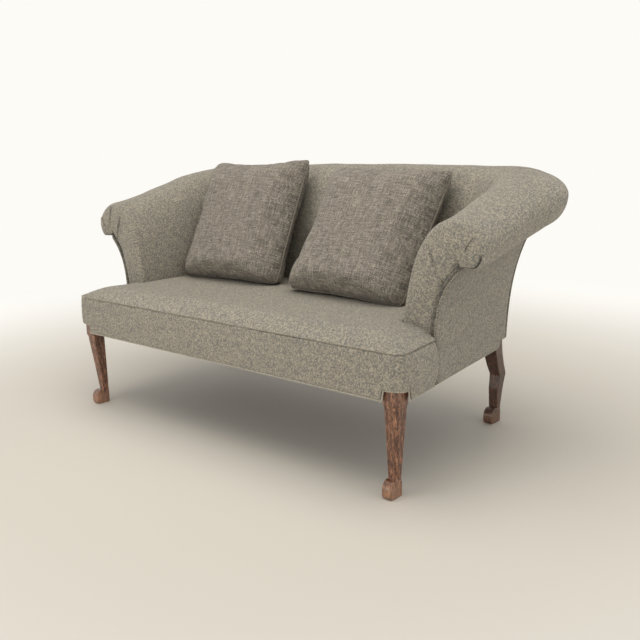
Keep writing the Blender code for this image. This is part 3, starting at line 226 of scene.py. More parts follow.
def pipingCloth(name):
    look = cords[name]
    material, tree, shader = newMaterial(name, {
        "Roughness": 0.92, "IOR": 1.46, "Sheen Weight": 0.18, "Specular IOR Level": 0.18})
    along, around = (addNode(tree, "Attribute", attribute_name=key).outputs["Fac"]
                     for key in ("along", "around"))
    turns = addNode(tree, "Math", {0: along, 1: 1 / look["twist"], 2: around}, operation="MULTIPLY_ADD")
    angle = addNode(tree, "Math", {0: turns.outputs[0], 1: 2 * math.pi}, operation="MULTIPLY")
    wave = addNode(tree, "Math", {0: angle.outputs[0]}, operation="SINE")
    spot = addNode(tree, "TexCoord").outputs["Object"]
    fleck = addNode(tree, "TexNoise", {"Scale": 240.0, "Detail": 2.0, "Vector": spot})
    mixed = addNode(tree, "Math", {0: wave.outputs[0], 1: 0.16, 2: fleck.outputs["Fac"]},
                    operation="MULTIPLY_ADD").outputs[0]
    ramp = addNode(tree, "ValToRGB", {"Fac": mixed})
    colourSteps(ramp, list(zip((0.28, 0.5, 0.74), look["colours"])))
    bump = addNode(tree, "Bump", {"Strength": 0.6, "Distance": look["relief"], "Height": mixed})
    feed(tree, shader, {"Base Color": ramp.outputs["Color"], "Normal": bump.outputs["Normal"]})
    return material


woods = {
    "stainedOak": {  # dark stained oak, rubbed redder and paler where it is handled, with a painted highlight on its edges and toes, and short open pores
        "grain": 0.0085, "bands": 0.06, "pore": (0.0028, 0.0090), "stretch": 4.0, "rough": (0.22, 0.46),
        "tones": [(0.32, "3c2319"), (0.45, "6a4331"), (0.55, "8f6146"), (0.70, "b98868")],
        "wornAndHighlight": "cfa284", "poreTone": "21120b", "coat": 0.35,
    },
    "shadedOak": {  # the same oak made darker all over: painted shade for the rear legs, which stand in shadow
        "grain": 0.0085, "bands": 0.06, "pore": (0.0028, 0.0090), "stretch": 4.0, "rough": (0.26, 0.50),
        "tones": [(0.32, "26150f"), (0.45, "442a1f"), (0.55, "5b3b2b"), (0.70, "79543f")],
        "wornAndHighlight": "8e684f", "poreTone": "150b07", "coat": 0.30,
    },
    "beechFrame": {  # planed hardwood frame stock, pale and unfinished
        "grain": 0.016, "bands": 0.42, "pore": (0.0014, 0.012), "stretch": 9.0, "rough": (0.55, 0.72),
        "tones": [(0.20, "a27c50"), (0.45, "b38d5f"), (0.65, "bf9a6c"), (0.85, "cdab7e")],
        "wornAndHighlight": "d2b48c", "poreTone": "8a6843", "coat": 0.0,
    },
}
grainTurns = {"Z": (0.0, 0.0, 0.0), "X": (0.0, math.pi / 2, 0.0), "Y": (math.pi / 2, 0.0, 0.0)}


def grainedWood(name, way="Z"):
    look = woods[name]
    material, tree, shader = newMaterial(name + way, {
        "IOR": 1.5, "Coat Weight": look["coat"], "Coat Roughness": 0.35})
    spot = addNode(tree, "TexCoord").outputs["Object"]
    laid = addNode(tree, "Mapping", {"Rotation": grainTurns[way], "Vector": spot}).outputs["Vector"]
    drawn = addNode(tree, "Mapping", {"Scale": (1.0, 1.0, 1 / look["stretch"]), "Vector": laid})
    figure = addNode(tree, "TexNoise", {
        "Scale": 1 / look["grain"], "Detail": 5.0, "Roughness": 0.62, "Distortion": 0.9,
        "Vector": drawn.outputs["Vector"]}).outputs["Fac"]
    rings = addNode(tree, "TexWave", {
        "Scale": 0.31 / look["grain"], "Distortion": 5.0, "Detail": 2.0, "Detail Scale": 1.4,
        "Vector": drawn.outputs["Vector"]}, bands_direction="DIAGONAL").outputs["Fac"]
    tone = addNode(tree, "Mix", {0: look["bands"], 2: figure, 3: rings}, data_type="FLOAT").outputs[0]
    ramp = addNode(tree, "ValToRGB", {"Fac": tone})
    colourSteps(ramp, look["tones"])
    fine, long = look["pore"]
    poreMap = addNode(tree, "Mapping", {"Scale": (1 / fine, 1 / fine, 1 / long), "Vector": laid})
    pores = addNode(tree, "TexNoise", {"Scale": 1.0, "Detail": 1.5, "Vector": poreMap.outputs["Vector"]})
    opened = addNode(tree, "MapRange", {"From Min": 0.53, "From Max": 0.63, "To Min": 0.0, "To Max": 0.90,
                                        "Value": pores.outputs["Fac"]}).outputs[0]
    pored = addNode(tree, "Mix", {0: opened, 6: ramp.outputs["Color"], 7: colour(look["poreTone"])},
                    data_type="RGBA").outputs[2]
    # paler on standing edges and toes: rubbed wear, with a painted highlight
    wearAndHighlight = addNode(tree, "Attribute", attribute_name="wearAndHighlight").outputs["Fac"]
    rubbedAndHighlight = addNode(tree, "Math", {0: wearAndHighlight, 1: figure}, operation="MULTIPLY").outputs[0]
    edged = addNode(tree, "Mix", {0: rubbedAndHighlight, 6: pored, 7: colour(look["wornAndHighlight"])}, data_type="RGBA")
    gloss = addNode(tree, "MapRange", {"To Min": look["rough"][0], "To Max": look["rough"][1],
                                                 "Value": figure})
    depth = addNode(tree, "Math", {0: opened, 1: -1.0, 2: tone}, operation="MULTIPLY_ADD")
    bump = addNode(tree, "Bump", {"Strength": 0.7, "Distance": 0.0009, "Height": depth.outputs[0]})
    feed(tree, shader, {"Base Color": edged.outputs[2], "Roughness": gloss.outputs[0],
                        "Normal": bump.outputs["Normal"]})
    return material


plains = {
    "zincSteel": {  # bright drawn steel with thin zinc: grey metal, faintly mottled and a little dulled
        "shader": {"Metallic": 1.0}, "noise": {"Scale": 90.0, "Detail": 3.0}, "rough": (0.25, 0.5),
        "tones": [(0.3, "8f9092"), (0.7, "b9bbbe")], "bump": (0.2, 0.0002),
    },
    "cottonFelt": {  # stuffing: carded cotton felt, cream with tangled fibres and specks of seed
        "shader": {"Sheen Weight": 0.3}, "noise": {"Scale": 160.0, "Detail": 6.0, "Distortion": 2.5},
        "tones": [(0.25, "8f8468"), (0.40, "cfc6ae"), (0.75, "e2dac6")], "bump": (0.6, 0.002),
        "rough": (0.96, 0.96),
    },
}


def plainFinish(name):
    look = plains[name]
    material, tree, shader = newMaterial(name, look["shader"])
    spot = addNode(tree, "TexCoord").outputs["Object"]
    spread = addNode(tree, "TexNoise", {**look["noise"], "Vector": spot}).outputs["Fac"]
    ramp = addNode(tree, "ValToRGB", {"Fac": spread})
    colourSteps(ramp, look["tones"])
    gloss = addNode(tree, "MapRange", {"To Min": look["rough"][0], "To Max": look["rough"][1],
                                                 "Value": spread})
    strength, depth = look["bump"]
    bump = addNode(tree, "Bump", {"Strength": strength, "Distance": depth, "Height": spread})
    feed(tree, shader, {"Base Color": ramp.outputs["Color"], "Roughness": gloss.outputs[0],
                        "Normal": bump.outputs["Normal"]})
    return material


finish = {name: wovenCloth(name) for name in cloths}
finish.update({name: pipingCloth(name) for name in cords})
finish["oak"] = grainedWood("stainedOak")
finish["rearOak"] = grainedWood("shadedOak")
finish["frame"] = {way: grainedWood("beechFrame", way) for way in "XYZ"}
finish["steel"] = plainFinish("zincSteel")
finish["felt"] = plainFinish("cottonFelt")
print("materials made:", len(bpy.data.materials))


def addObject(name, mesh, material=None):
    piece = bpy.data.objects.new(name, mesh)
    bpy.context.scene.collection.objects.link(piece)
    if material:
        piece.data.materials.append(material)
    return piece


def addShape(name, data, material):
    mesh = bpy.data.meshes.new(name)
    data.to_mesh(mesh)
    data.free()
    return addObject(name, mesh, material)


def sweep(stops, count, at):
    # one row for each stop; at gives a point, its place on the cloth and, for some, how much painted shade it
    # takes
    made = [[at(stop, i / count) for i in range(count + 1)] for stop in stops]
    return [[[item[k] for item in row] for row in made] for k in range(len(made[0][0]))]


def gridPiece(name, rows, spots, material, flip=False, paintedShade=None, flatFrom=None):
    # rows of points and their cloth places in metres, which become the weave's map
    high = len(rows)
    wide = len(rows[0])
    points = [tuple(point) for row in rows for point in row]
    faces = []
    for i in range(high - 1):
        for j in range(wide - 1):
            a = i * wide + j
            quad = (a, a + 1, a + wide + 1, a + wide)
            faces.append(quad[::-1] if flip else quad)
    mesh = bpy.data.meshes.new(name)
    mesh.from_pydata(points, [], faces)
    # painted shade for the cloth colour, stored as the seam attribute
    if paintedShade is not None:
        store = mesh.attributes.new("seam", "FLOAT", "POINT")
        store.data.foreach_set("value", np.clip(paintedShade, 0.0, 1.0).astype(np.float32).ravel())
    corners = np.zeros(len(mesh.loops), np.int32)
    mesh.loops.foreach_get("vertex_index", corners)
    place = np.array(spots, float).reshape(-1, 2)[corners]
    if flatFrom is not None:  # faces past this row are cut straight, with the weave upright
        upright = np.array(points)[corners][:, (0, 2)]
        past = np.arange(len(corners)) >= flatFrom * (wide - 1) * 4
        place = np.where(past[:, None], upright, place)
    layer = mesh.uv_layers.new(name="UVMap")
    layer.data.foreach_set("uv", place.astype(np.float32).ravel())
    data = bmesh.new()
    data.from_mesh(mesh)
    bmesh.ops.remove_doubles(data, verts=data.verts, dist=0.00004)
    data.to_mesh(mesh)
    data.free()
    mesh.shade_smooth()
    return addObject(name, mesh, material)


def settle(piece):
    # applies every modifier, leaving a plain mesh
    bpy.context.view_layer.update()
    graph = bpy.context.evaluated_depsgraph_get()
    shaped = piece.evaluated_get(graph)
    made = bpy.data.meshes.new_from_object(shaped, preserve_all_data_layers=True, depsgraph=graph)
    piece.modifiers.clear()
    piece.data = made
    return piece


def moveTo(piece, spots):
    piece.data.vertices.foreach_set("co", np.array(spots, np.float32).ravel())
    piece.data.update()


def soften(piece, amount, size, seed):
    # slow swells of stuffing under the cloth
    shift = Vector((seed, seed * 0.7, seed * 1.3))
    moved = []
    for vertex in piece.data.vertices:
        swell = noise.noise(vertex.co / size + shift) + 0.4 * noise.noise(vertex.co / size * 2.3 + shift)
        moved.append(vertex.co + vertex.normal * amount * swell)
    moveTo(piece, moved)


def thicken(piece, depth, limit=0.0):
    shell = piece.modifiers.new("backing", "SOLIDIFY")
    shell.thickness = depth
    shell.offset = -1.0
    shell.thickness_clamp = limit
    return settle(piece)


def keep(piece, body, slotName, *nodes):
    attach(piece, body)
    if nodes:
        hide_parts(*nodes)
    return piece


def dress(piece, swell, seed, look, *nodes, limit=0.0):
    # a tweed cover: swells of stuffing, a backing, and what it stands for
    soften(piece, *swell, seed)
    thicken(piece, look["backing"], limit)
    keep(piece, "sofa", "tweed", *nodes)
    return piece


def cumulative(points):
    total = [0.0]
    for near, far in zip(points, points[1:]):
        total.append(total[-1] + (far - near).length)
    return total


def lineTree(name):
    # a line of edges becomes a cord, with its length and turn kept for the twist, or a row of tack heads
    tree = bpy.data.node_groups.new(name, "GeometryNodeTree")
    for label, kind in (("Line", "Geometry"), ("Radius", "Float"), ("Step", "Float"), ("Finish", "Material")):
        tree.interface.new_socket(name=label, in_out="INPUT", socket_type="NodeSocket" + kind)
    tree.interface.new_socket(name="Made", in_out="OUTPUT", socket_type="NodeSocketGeometry")
    start = addNode(tree, "NodeGroupInput").outputs
    line = addNode(tree, "MeshToCurve", {0: start["Line"]}).outputs[0]
    even = addNode(tree, "ResampleCurve", {"Curve": line, "Length": start["Step"]}, mode="LENGTH")
    if name == "coveredPiping":
        way = addNode(tree, "SplineParameter").outputs
        circle = addNode(tree, "CurvePrimitiveCircle", {"Resolution": 10, "Radius": start["Radius"]})
        along, around = (
            addNode(tree, "StoreNamedAttribute", {"Geometry": line.outputs[0], "Name": label, "Value": value},
                    data_type="FLOAT", domain="POINT")
            for line, label, value in ((even, "along", way["Length"]), (circle, "around", way["Factor"])))
        made = addNode(tree, "CurveToMesh", {
            "Fill Caps": True, "Curve": along.outputs[0], "Profile Curve": around.outputs[0]})
    else:
        head = addNode(tree, "MeshUVSphere", {"Segments": 8, "Rings": 5, "Radius": start["Radius"]})
        squat = addNode(tree, "Transform", {"Scale": (1.0, 1.0, 0.35), "Geometry": head.outputs[0]})
        made = addNode(tree, "InstanceOnPoints", {"Points": even.outputs[0], "Instance": squat.outputs[0]})
    real = addNode(tree, "RealizeInstances", {0: made.outputs[0]})
    smooth = addNode(tree, "SetShadeSmooth", {0: real.outputs[0]})
    dressed = addNode(tree, "SetMaterial", {"Geometry": smooth.outputs[0], "Material": start["Finish"]})
    addNode(tree, "NodeGroupOutput", {0: dressed.outputs[0]})
    return tree


trees = {name: lineTree(name) for name in ("coveredPiping", "liningTacks")}


def followLine(name, points, kind, size, step, material, closed=False):
    count = len(points)
    edges = [(i, i + 1) for i in range(count - 1)] + ([(count - 1, 0)] if closed else [])
    mesh = bpy.data.meshes.new(name)
    mesh.from_pydata([tuple(point) for point in points], edges, [])
    piece = addObject(name, mesh)
    maker = piece.modifiers.new(kind, "NODES")
    maker.node_group = trees[kind]
    sockets = [item for item in trees[kind].interface.items_tree if item.in_out == "INPUT"]
    for item, value in zip(sockets[1:], (size, step, material)):
        maker[item.identifier] = value
    return settle(piece)


# Section of the arms and back, followed by its run from the arm's front round to the middle of the back
insideCount = 64
overCount = 46
underCount = 32
tailCount = 4
profileCount = insideCount + overCount + underCount + tailCount + 1
lowStart = insideCount + overCount


def sideX(y):
    return lerp(sofa["frontHalf"], sofa["rearHalf"], y / sofa["depth"])


def behindFront(y):
    return (y - sofa["armFrontY"]) / (sofa["depth"] - sofa["armFrontY"])


def flareAt(y):
    return lerp(sofa["flareFront"], sofa["flareRear"], behindFront(y))


def stationAt(run):
    corner = sofa["seatCorner"]
    turn = clamp((run - straightRun) / (corner + sofa["backCrown"]), 0.0, math.pi / 2)
    past = max(run - straightRun - cornerRun, 0.0)
    out = Vector((math.cos(turn), math.sin(turn)))
    point = Vector((halfBack, sofa["backBase"] - corner)) + out * corner
    point.y -= straightRun - min(run, straightRun)
    point.x -= past
    back = min(past / halfBack, 1.0)
    straight = clamp(run / straightRun)
    rise = clamp(run / (straightRun + cornerRun))
    climb = clamp(run / (straightRun + cornerRun * sofa["climbEnd"]))
    smooth = sofa["ogee"] * ease(climb) + (1 - sofa["ogee"]) * climb
    top = lerp(sofa["frontTop"], sofa["cornerTop"], smooth)
    top += (sofa["backTop"] - sofa["cornerTop"]) * back * (2 - back)
    share = turn / (math.pi / 2)
    swell = math.sin(math.pi * share)
    half = lerp(sofa["frontRoll"], sofa["backRoll"], climb)
    armTuck = sideX(point.y) + flareAt(point.y) - sofa["armBase"]
    backTuck = sofa["depth"] + sofa["backRake"] - sofa["backBase"]
    lip = ease(run / sofa["lipRun"])
    return {
        "point": point, "out": out, "top": top, "half": half, "low": top - 2 * half,
        "crown": lerp(sofa["frontCrown"], sofa["backCrown"], straight),
        "pull": lerp(sofa["frontPull"], sofa["backPull"], straight),
        "reach": lerp(sofa["frontReach"], sofa["backReach"], rise) + sofa["cornerReach"] * swell,
        "tuck": lerp(armTuck, backTuck, share) + sofa["cornerTuck"] * swell,
        "drop": sofa["lipDrop"] * lip, "draw": sofa["tailDraw"] * lip,
        "under": lerp(sofa["frontUnder"], sofa["underRound"], ease(run / sofa["underRun"])),
    }


def profileOf(station):
    # (out from the seat, height): up the inside, over the crown, round the roll and back to the tuck
    base = Vector((0.0, sofa["coreZ"]))
    top = Vector((station["crown"], station["top"]))
    lift = base + Vector((0.0, sofa["insideLift"]))
    pull = top - Vector((station["pull"], 0.0))
    points = []
    for i in range(insideCount + 1):  # closer together towards the crown, where the gathers come
        t = 1 - (1 - i / insideCount) ** 1.5
        s = 1 - t
        points.append(base * s ** 3 + lift * 3 * t * s * s + pull * 3 * t * t * s + top * t ** 3)
    mid = station["top"] - station["half"]
    wide = station["reach"] - station["crown"]
    for i in range(1, overCount + 1):
        angle = math.pi / 2 * (1 - i / overCount)
        points.append(Vector((top.x + wide * math.cos(angle), mid + station["half"] * math.sin(angle))))
    near = station["reach"] - station["under"]
    deep = station["half"] + station["drop"]
    for i in range(1, underCount + 1):
        angle = -math.pi / 2 * i / underCount
        points.append(Vector((near + station["under"] * math.cos(angle), mid + deep * math.sin(angle))))
    # the end is drawn up under the roll, which leaves a lip hanging over the outside panel
    last = points[-1]
    goal = Vector((station["tuck"], station["low"] + station["draw"]))
    return points + [last.lerp(goal, i / tailCount) for i in range(1, tailCount + 1)]


def profileNormals(points):
    normals = []
    for i in range(len(points)):
        way = points[min(i + 1, len(points) - 1)] - points[max(i - 1, 0)]
        normals.append(Vector((-way.y, way.x)).normalized())
    return normals


def sectionRows(end, step, way):
    # full sections from the corner seam to the given run; way is 1 to the back and -1 to the front
    count = math.ceil(abs(end - seamRun) / step)
    rows = []
    spots = []
    for i in range(count + 1):
        run = lerp(seamRun + way * sofa["seamGap"], end, i / count)
        station = stationAt(run)
        points = profileOf(station)
        # the corner seam is drawn tight on the roll and hardly shows on the inside
        dip = sofa["seamDip"] * hump(run - seamRun, sofa["seamWide"])
        for j, normal in enumerate(profileNormals(points)):
            share = lerp(sofa["seamInside"], 1.0, ease((j - insideCount) / overCount))
            points[j] = points[j] - normal * dip * share
        row = []
        for point in points:
            spot = station["point"] + station["out"] * point.x
            row.append(Vector((spot.x, spot.y + originY, point.y)))
        rows.append(row)
        spots.append([(way * run, v) for v in cumulative(points)])
    return rows, spots


def lowAt(y):
    corner = sofa["backBase"] - sofa["seatCorner"]
    if y < corner:
        return stationAt(y - sofa["armFrontY"])["low"]
    turn = min((y - corner) / (sofa["depth"] - corner), 1.0)
    return stationAt(straightRun + turn * cornerRun / 2)["low"]


def lowAcross(x):
    past = halfBack - abs(x)
    if past >= 0:
        return stationAt(straightRun + cornerRun + past)["low"]
    turn = min(-past / (sofa["rearHalf"] + sofa["flareRear"] - halfBack), 1.0)
    return stationAt(straightRun + cornerRun * (1 - turn / 2))["low"]


def outsideX(y, z):
    share = clamp((z - sofa["coverBottom"]) / (lowAt(y) - sofa["coverBottom"]))
    behind = behindFront(y)
    power = lerp(sofa["frontPower"], sofa["rearPower"], behind)
    bulge = flareAt(y) * share ** power - lerp(sofa["waist"], 0.0, behind) * math.sin(math.pi * share)
    return sideX(y) + sofa["panelOut"] + bulge


def backY(z):
    share = (z - sofa["coverBottom"]) / (stationAt(straightRun + cornerRun)["low"] - sofa["coverBottom"])
    return sofa["depth"] + sofa["panelOut"] + sofa["backRake"] * share


# Arm covers: inside face, roll and wrapped front in one cloth, gathered under the roll
arm = {
    "step": 0.0075, "backing": 0.009, "fill": 0.9, "thin": 2.0, "swell": (0.0022, 0.11), "seed": 3.0,
    "rimStart": 0.042, "rimSteps": 12, "faceSteps": 40,
    # where along the section, and how round the front edge is there
    "rim": [(0, 0.013), (0.25, 0.016), (0.45, 0.026), (0.60, 0.030), (0.69, 0.026),
            (0.75, 0.012), (0.80, 0.006), (0.85, 0.004), (1.0, 0.004)],
    "tuck": (-0.004, 0.0055),  # above the tail, so that no cloth folds back
    "dome": 0.007, "domeZ": 0.440, "domeRun": 0.09, "seamDrop": 0.012, "crease": 0.0080, "creaseWide": 0.0032,
    # each gather: angle round the tuck in degrees, nearest and farthest reach, depth
    "pleats": {-1: [(92, 0.014, 0.140, 0.0095), (131, 0.014, 0.100, 0.0100), (47, 0.014, 0.112, 0.0090)],
               1: [(62, 0.040, 0.094, 0.0070), (148, 0.056, 0.104, 0.0042)]},
    # across a gather: a slope down, then the lip of the fold
    "fold": (-0.04, 0.10, 0.42, 1.0, -0.32, -0.24, -0.10),
    "shadeDepth": 0.0065, "shadeReach": 0.007,
}


def armCover(side):
    label = sides[side]
    rows, spots = sectionRows(arm["rimStart"], arm["step"], -1)
    front = stationAt(0.0)
    flat = profileOf(front)
    deep = profileOf(stationAt(arm["rimStart"]))
    normals = profileNormals(flat)
    lengths = cumulative(flat)
    rims = np.interp(np.linspace(0.0, 1.0, profileCount), *zip(*arm["rim"]))
    tuck = Vector((front["tuck"], front["low"])) + Vector(arm["tuck"])
    threads = range(profileCount)

    def addRow(made):
        # for each thread: its place on the section, how far behind the front it lies, how far along the cloth
        rows.append([(point, run) for point, run, u in made])
        spots.append([(item[2], length) for item, length in zip(made, lengths)])

    def onRim(j, run, inset):
        return flat[j].lerp(deep[j], clamp(run / arm["rimStart"])) - normals[j] * inset

    for t in (0.34, 0.67, 1.0):  # from the last full section to where each thread starts to turn
        runs = [lerp(arm["rimStart"], rim, t) for rim in rims]
        addRow([(onRim(j, runs[j], 0.0), runs[j], -runs[j]) for j in threads])
    for k in range(1, arm["rimSteps"] + 1):
        angle = math.pi / 2 * k / arm["rimSteps"]
        runs = rims * (1 - math.sin(angle))
        insets = rims * (1 - math.cos(angle))
        addRow([(onRim(j, runs[j], insets[j]), runs[j], rims[j] * (angle - 1)) for j in threads])
    edgeRow = len(rows) - 1
    edge = [point for point, run in rows[-1]]
    edgeU = [u for u, v in spots[-1]]
    goals = []
    for length in lengths:  # the front closes on the outside panel's edge, and the roll's cloth on the tuck
        share = min(length / lengths[insideCount - 4], 1.0)
        high = lerp(sofa["coreZ"], front["low"] - 0.003, share)
        closing = Vector((outsideX(sofa["armFrontY"], high) - sofa["armBase"] - 0.006, high))
        goals.append(closing.lerp(tuck, ease((share - 0.9) / 0.1)))
    for k in range(1, arm["faceSteps"] + 1):
        s = k / arm["faceSteps"]
        made = []
        for j, goal in enumerate(goals):
            point = edge[j].lerp(goal, s)
            above = ease((point.y - arm["domeZ"]) / arm["domeRun"])
            flatten = 1 - ease((j - lowStart - 8) / (underCount - 10))  # the narrow end of the fan lies flat
            shallow = 1 - 0.75 * ease((j - insideCount + 4) / 10)  # only a dimple where the roll ends
            run = -arm["dome"] * math.sin(math.pi * min(s * 1.15, 1.0)) * above * flatten
            run += arm["seamDrop"] * shallow * flatten * ease((s - 0.80) / 0.20)
            made.append((point, run, edgeU[j] + s * (goal - edge[j]).length))
        addRow(made)
    final = np.zeros((len(rows), profileCount, 3))
    sink, crease, reach = np.zeros((3, len(rows), profileCount))
    for i, row in enumerate(rows):
        for j, spot in enumerate(row):
            if isinstance(spot, tuple):
                point, run = spot
                spot = Vector((sofa["armBase"] + point.x, sofa["armFrontY"] + run + originY, point.y))
                reach[i, j] = (point - tuck).length + 2 * max(run, 0.0)
                # the crease where the front's lower edge turns under the roll
                past = spots[i][j][0] - edgeU[j] - 0.0008
                crease[i, j] = arm["crease"] * ease((j - lowStart - 5) / 9) * hump(past, arm["creaseWide"])
            final[i, j] = (side * spot.x, spot.y, spot.z)
    turns = [math.degrees(math.atan2(point.y - tuck.y, point.x - tuck.x)) for point in edge]
    for degrees, near, far, depth in arm["pleats"][side]:
        first = min(range(insideCount // 2, lowStart), key=lambda j: abs(turns[j] - degrees)) - 3
        for j, share in enumerate(arm["fold"], first):
            away = reach[:, j]
            fade = np.clip((away - near) / (0.3 * (far - near)), 0, 1)
            fade = fade * np.clip((far - away) / (0.4 * (far - near)), 0, 1)
            sink[:, j] += share * np.minimum(depth, 0.13 * away) * fade
    # painted shade in the gathers and the crease, along the front's closing edge and round the tuck
    paintedShade = np.clip((sink + crease) / arm["shadeDepth"], 0.0, 1.0)
    paintedShade[-3:, :] = np.maximum(paintedShade[-3:, :], [[0.3], [0.7], [1.0]])
    gathered = np.clip(1.2 - reach / arm["shadeReach"], 0.0, 1.0)
    paintedShade[edgeRow:, insideCount:] = np.maximum(paintedShade, gathered)[edgeRow:, insideCount:]
    # the gathers sink straight into the cloth, whichever way it faces, and the crease goes straight back
    way = np.cross(np.gradient(final, axis=0), np.gradient(final, axis=1))
    way /= np.maximum(np.linalg.norm(way, axis=2, keepdims=True), 1e-9)
    way *= -np.sign(way[edgeRow + 5:edgeRow + 20, insideCount // 2:lowStart, 1].mean())
    final = final - way * sink[:, :, None]
    final[:, :, 1] += crease * [1 - ease((j - lowStart - underCount + 6) / 6) for j in threads]
    piece = gridPiece(label + "_arm_cover", final, spots, finish["hopsackTweed"], side > 0, paintedShade, edgeRow)
    # its backing is thinner where the mesh is fine
    return dress(piece, arm["swell"], arm["seed"] + side, arm, label + "_inside_arm", label + "_arm_front",
                 limit=arm["thin"])


for side in sides:
    armCover(side)
print("arm covers made")

# Back cover: the same section carried across the back, seamed to the arms at mid corner
back = {"step": 0.0085, "backing": 0.009, "fill": 0.9, "swell": (0.0022, 0.13), "seed": 9.0}


def backCover():
    half = straightRun + cornerRun + halfBack
    rows, spots = sectionRows(half, back["step"], 1)
    rows += [[Vector((-p.x, p.y, p.z)) for p in row] for row in rows[-2::-1]]
    spots += [[(2 * half - u, v) for u, v in row] for row in spots[-2::-1]]
    piece = gridPiece("back_cover", rows, spots, finish["hopsackTweed"])
    return dress(piece, back["swell"], back["seed"], back, "inside_back")


backPiece = backCover()
print("back cover made")

# Outside arms and outside back: flat padded panels, notched round the rear legs
panel = {
    "rows": 34, "armColumns": 44, "backColumns": 52, "puff": 0.0020, "backing": 0.008, "fill": 0.8,
    "notchRound": 0.010, "notchStops": (-0.008, -0.005, -0.003, -0.001, 0.001, 0.003, 0.005, 0.008),
    "fold": 0.009, "foldStops": (0.0012, 0.0025, 0.004, 0.006, 0.0085), "overlap": 0.008, "overhang": 0.016,
    "armSwell": (0.0012, 0.09), "armSeed": 14.0, "backSwell": (0.0015, 0.12), "backSeed": 21.0,
}


def panelHem(distance):
    # the hem climbs over the leg, for a distance past the notch's start
    return lerp(sofa["coverBottom"], sofa["notchTop"], ease(distance / panel["notchRound"] + 0.5))


def panelShade(edge, low, z):
    # painted shade along the edge seam, and painted shade below the roll's overhang
    hidden = max(low - panel["overhang"] - z, 0.0)
    return max(edge, 0.7 * hump(hidden, 0.040), 0.42 * hump(hidden, 0.110))


def outsideArm(side):
    label = sides[side]
    start = sofa["armFrontY"]
    end = sofa["depth"] + 0.003
    notchAt = sofa["depth"] - sofa["rearNotch"]
    cornerY = sofa["backBase"] - sofa["seatCorner"]
    columns = [lerp(start, end, i / panel["armColumns"]) for i in range(panel["armColumns"] + 1)]
    columns += [notchAt + d for d in panel["notchStops"]] + [start + d for d in panel["foldStops"]]

    def at(columnY, rise):
        y = min(columnY, sofa["depth"])
        low = lowAt(y)
        past = columnY - start
        z = lerp(panelHem(columnY - notchAt), low + lerp(-0.006, panel["overlap"], ease(past / 0.03)), rise)
        late = max(y - cornerY, 0.0) / (sofa["depth"] - cornerY)
        spotY = columnY + late * (backY(z) - sofa["panelDepth"] - sofa["depth"])
        x = outsideX(min(spotY, sofa["depth"]), min(z, low))
        x += panel["puff"] * math.sin(math.pi * rise) * min(clamp(past / 0.05), clamp((end - columnY) / 0.05))
        x -= panel["fold"] * (1 - ease(past / 0.0065))
        x -= panel["fold"] * (1 - ease((end - columnY) / 0.008))
        seam = lerp(0.024, 0.007, ease((z - 0.38) / 0.05))  # painted shade at the front seam, wider behind the border's full end
        return (side * x, spotY + originY, z), (columnY, z), panelShade(0.85 * hump(past, seam), low, z)

    rows, spots, paintedShade = sweep(sorted(columns), panel["rows"], at)
    piece = gridPiece(label + "_outside_arm_cover", rows, spots, finish["hopsackTweed"], side > 0, paintedShade)
    return dress(piece, panel["armSwell"], panel["armSeed"] + side, panel, label + "_outside_arm")


def outsideBack():
    depth = sofa["depth"]
    edge = sideX(depth) + sofa["panelOut"] + flareAt(depth)
    notchAt = (sofa["rearHalf"] - sofa["rearNotch"]) * edge / outsideX(depth, sofa["notchTop"])
    half = [edge * i / panel["backColumns"] for i in range(panel["backColumns"] + 1)]
    half = sorted(half + [notchAt + d for d in panel["notchStops"]])

    def at(topX, rise):
        low = lowAcross(topX)
        inset = edge - abs(topX)
        z = lerp(panelHem(abs(topX) - notchAt), low + panel["overlap"], rise)
        x = topX / edge * outsideX(min(backY(z) - sofa["panelDepth"], depth), min(z, lowAt(depth)))
        y = backY(z) + panel["puff"] * math.sin(math.pi * rise) * ease(inset / 0.06)
        y -= panel["fold"] * (1 - ease(inset / 0.010))
        return (x, y + originY, z), (x, z), panelShade(0.8 * hump(inset, 0.006), low, z)

    rows, spots, paintedShade = sweep([-x for x in half[:0:-1]] + half, panel["rows"], at)
    piece = gridPiece("outside_back_cover", rows, spots, finish["hopsackTweed"], False, paintedShade)
    return dress(piece, panel["backSwell"], panel["backSeed"], panel, "outside_back")


for side in sides:
    outsideArm(side)
outsideBack()
print("outside covers made")

# Front border: a band round the front of the seat, puffed at its ends, cut round the leg tops
border = {
    "out": 0.0104, "corner": 0.030, "top": 0.4062, "rows": 22, "puffFront": 0.0030, "puffSide": 0.0150,
    "backing": 0.007, "fill": 0.85, "horn": 0.0022, "arch": 0.0030, "turn": 0.0045, "endTuck": 0.011,
    "topTuck": 0.0022, "notchFront": 0.0463, "notchSide": 0.0400, "notchTop": 0.309,
    "notchStops": (-0.010, -0.007, -0.005, -0.003, -0.0015, 0.0, 0.0015, 0.003, 0.005, 0.007, 0.010),
    "endStops": (0.0012, 0.0025, 0.004, 0.006), "swell": (0.0012, 0.08), "seed": 31.0,
}
legOut = sofa["frontHalf"] - sofa["legInset"]


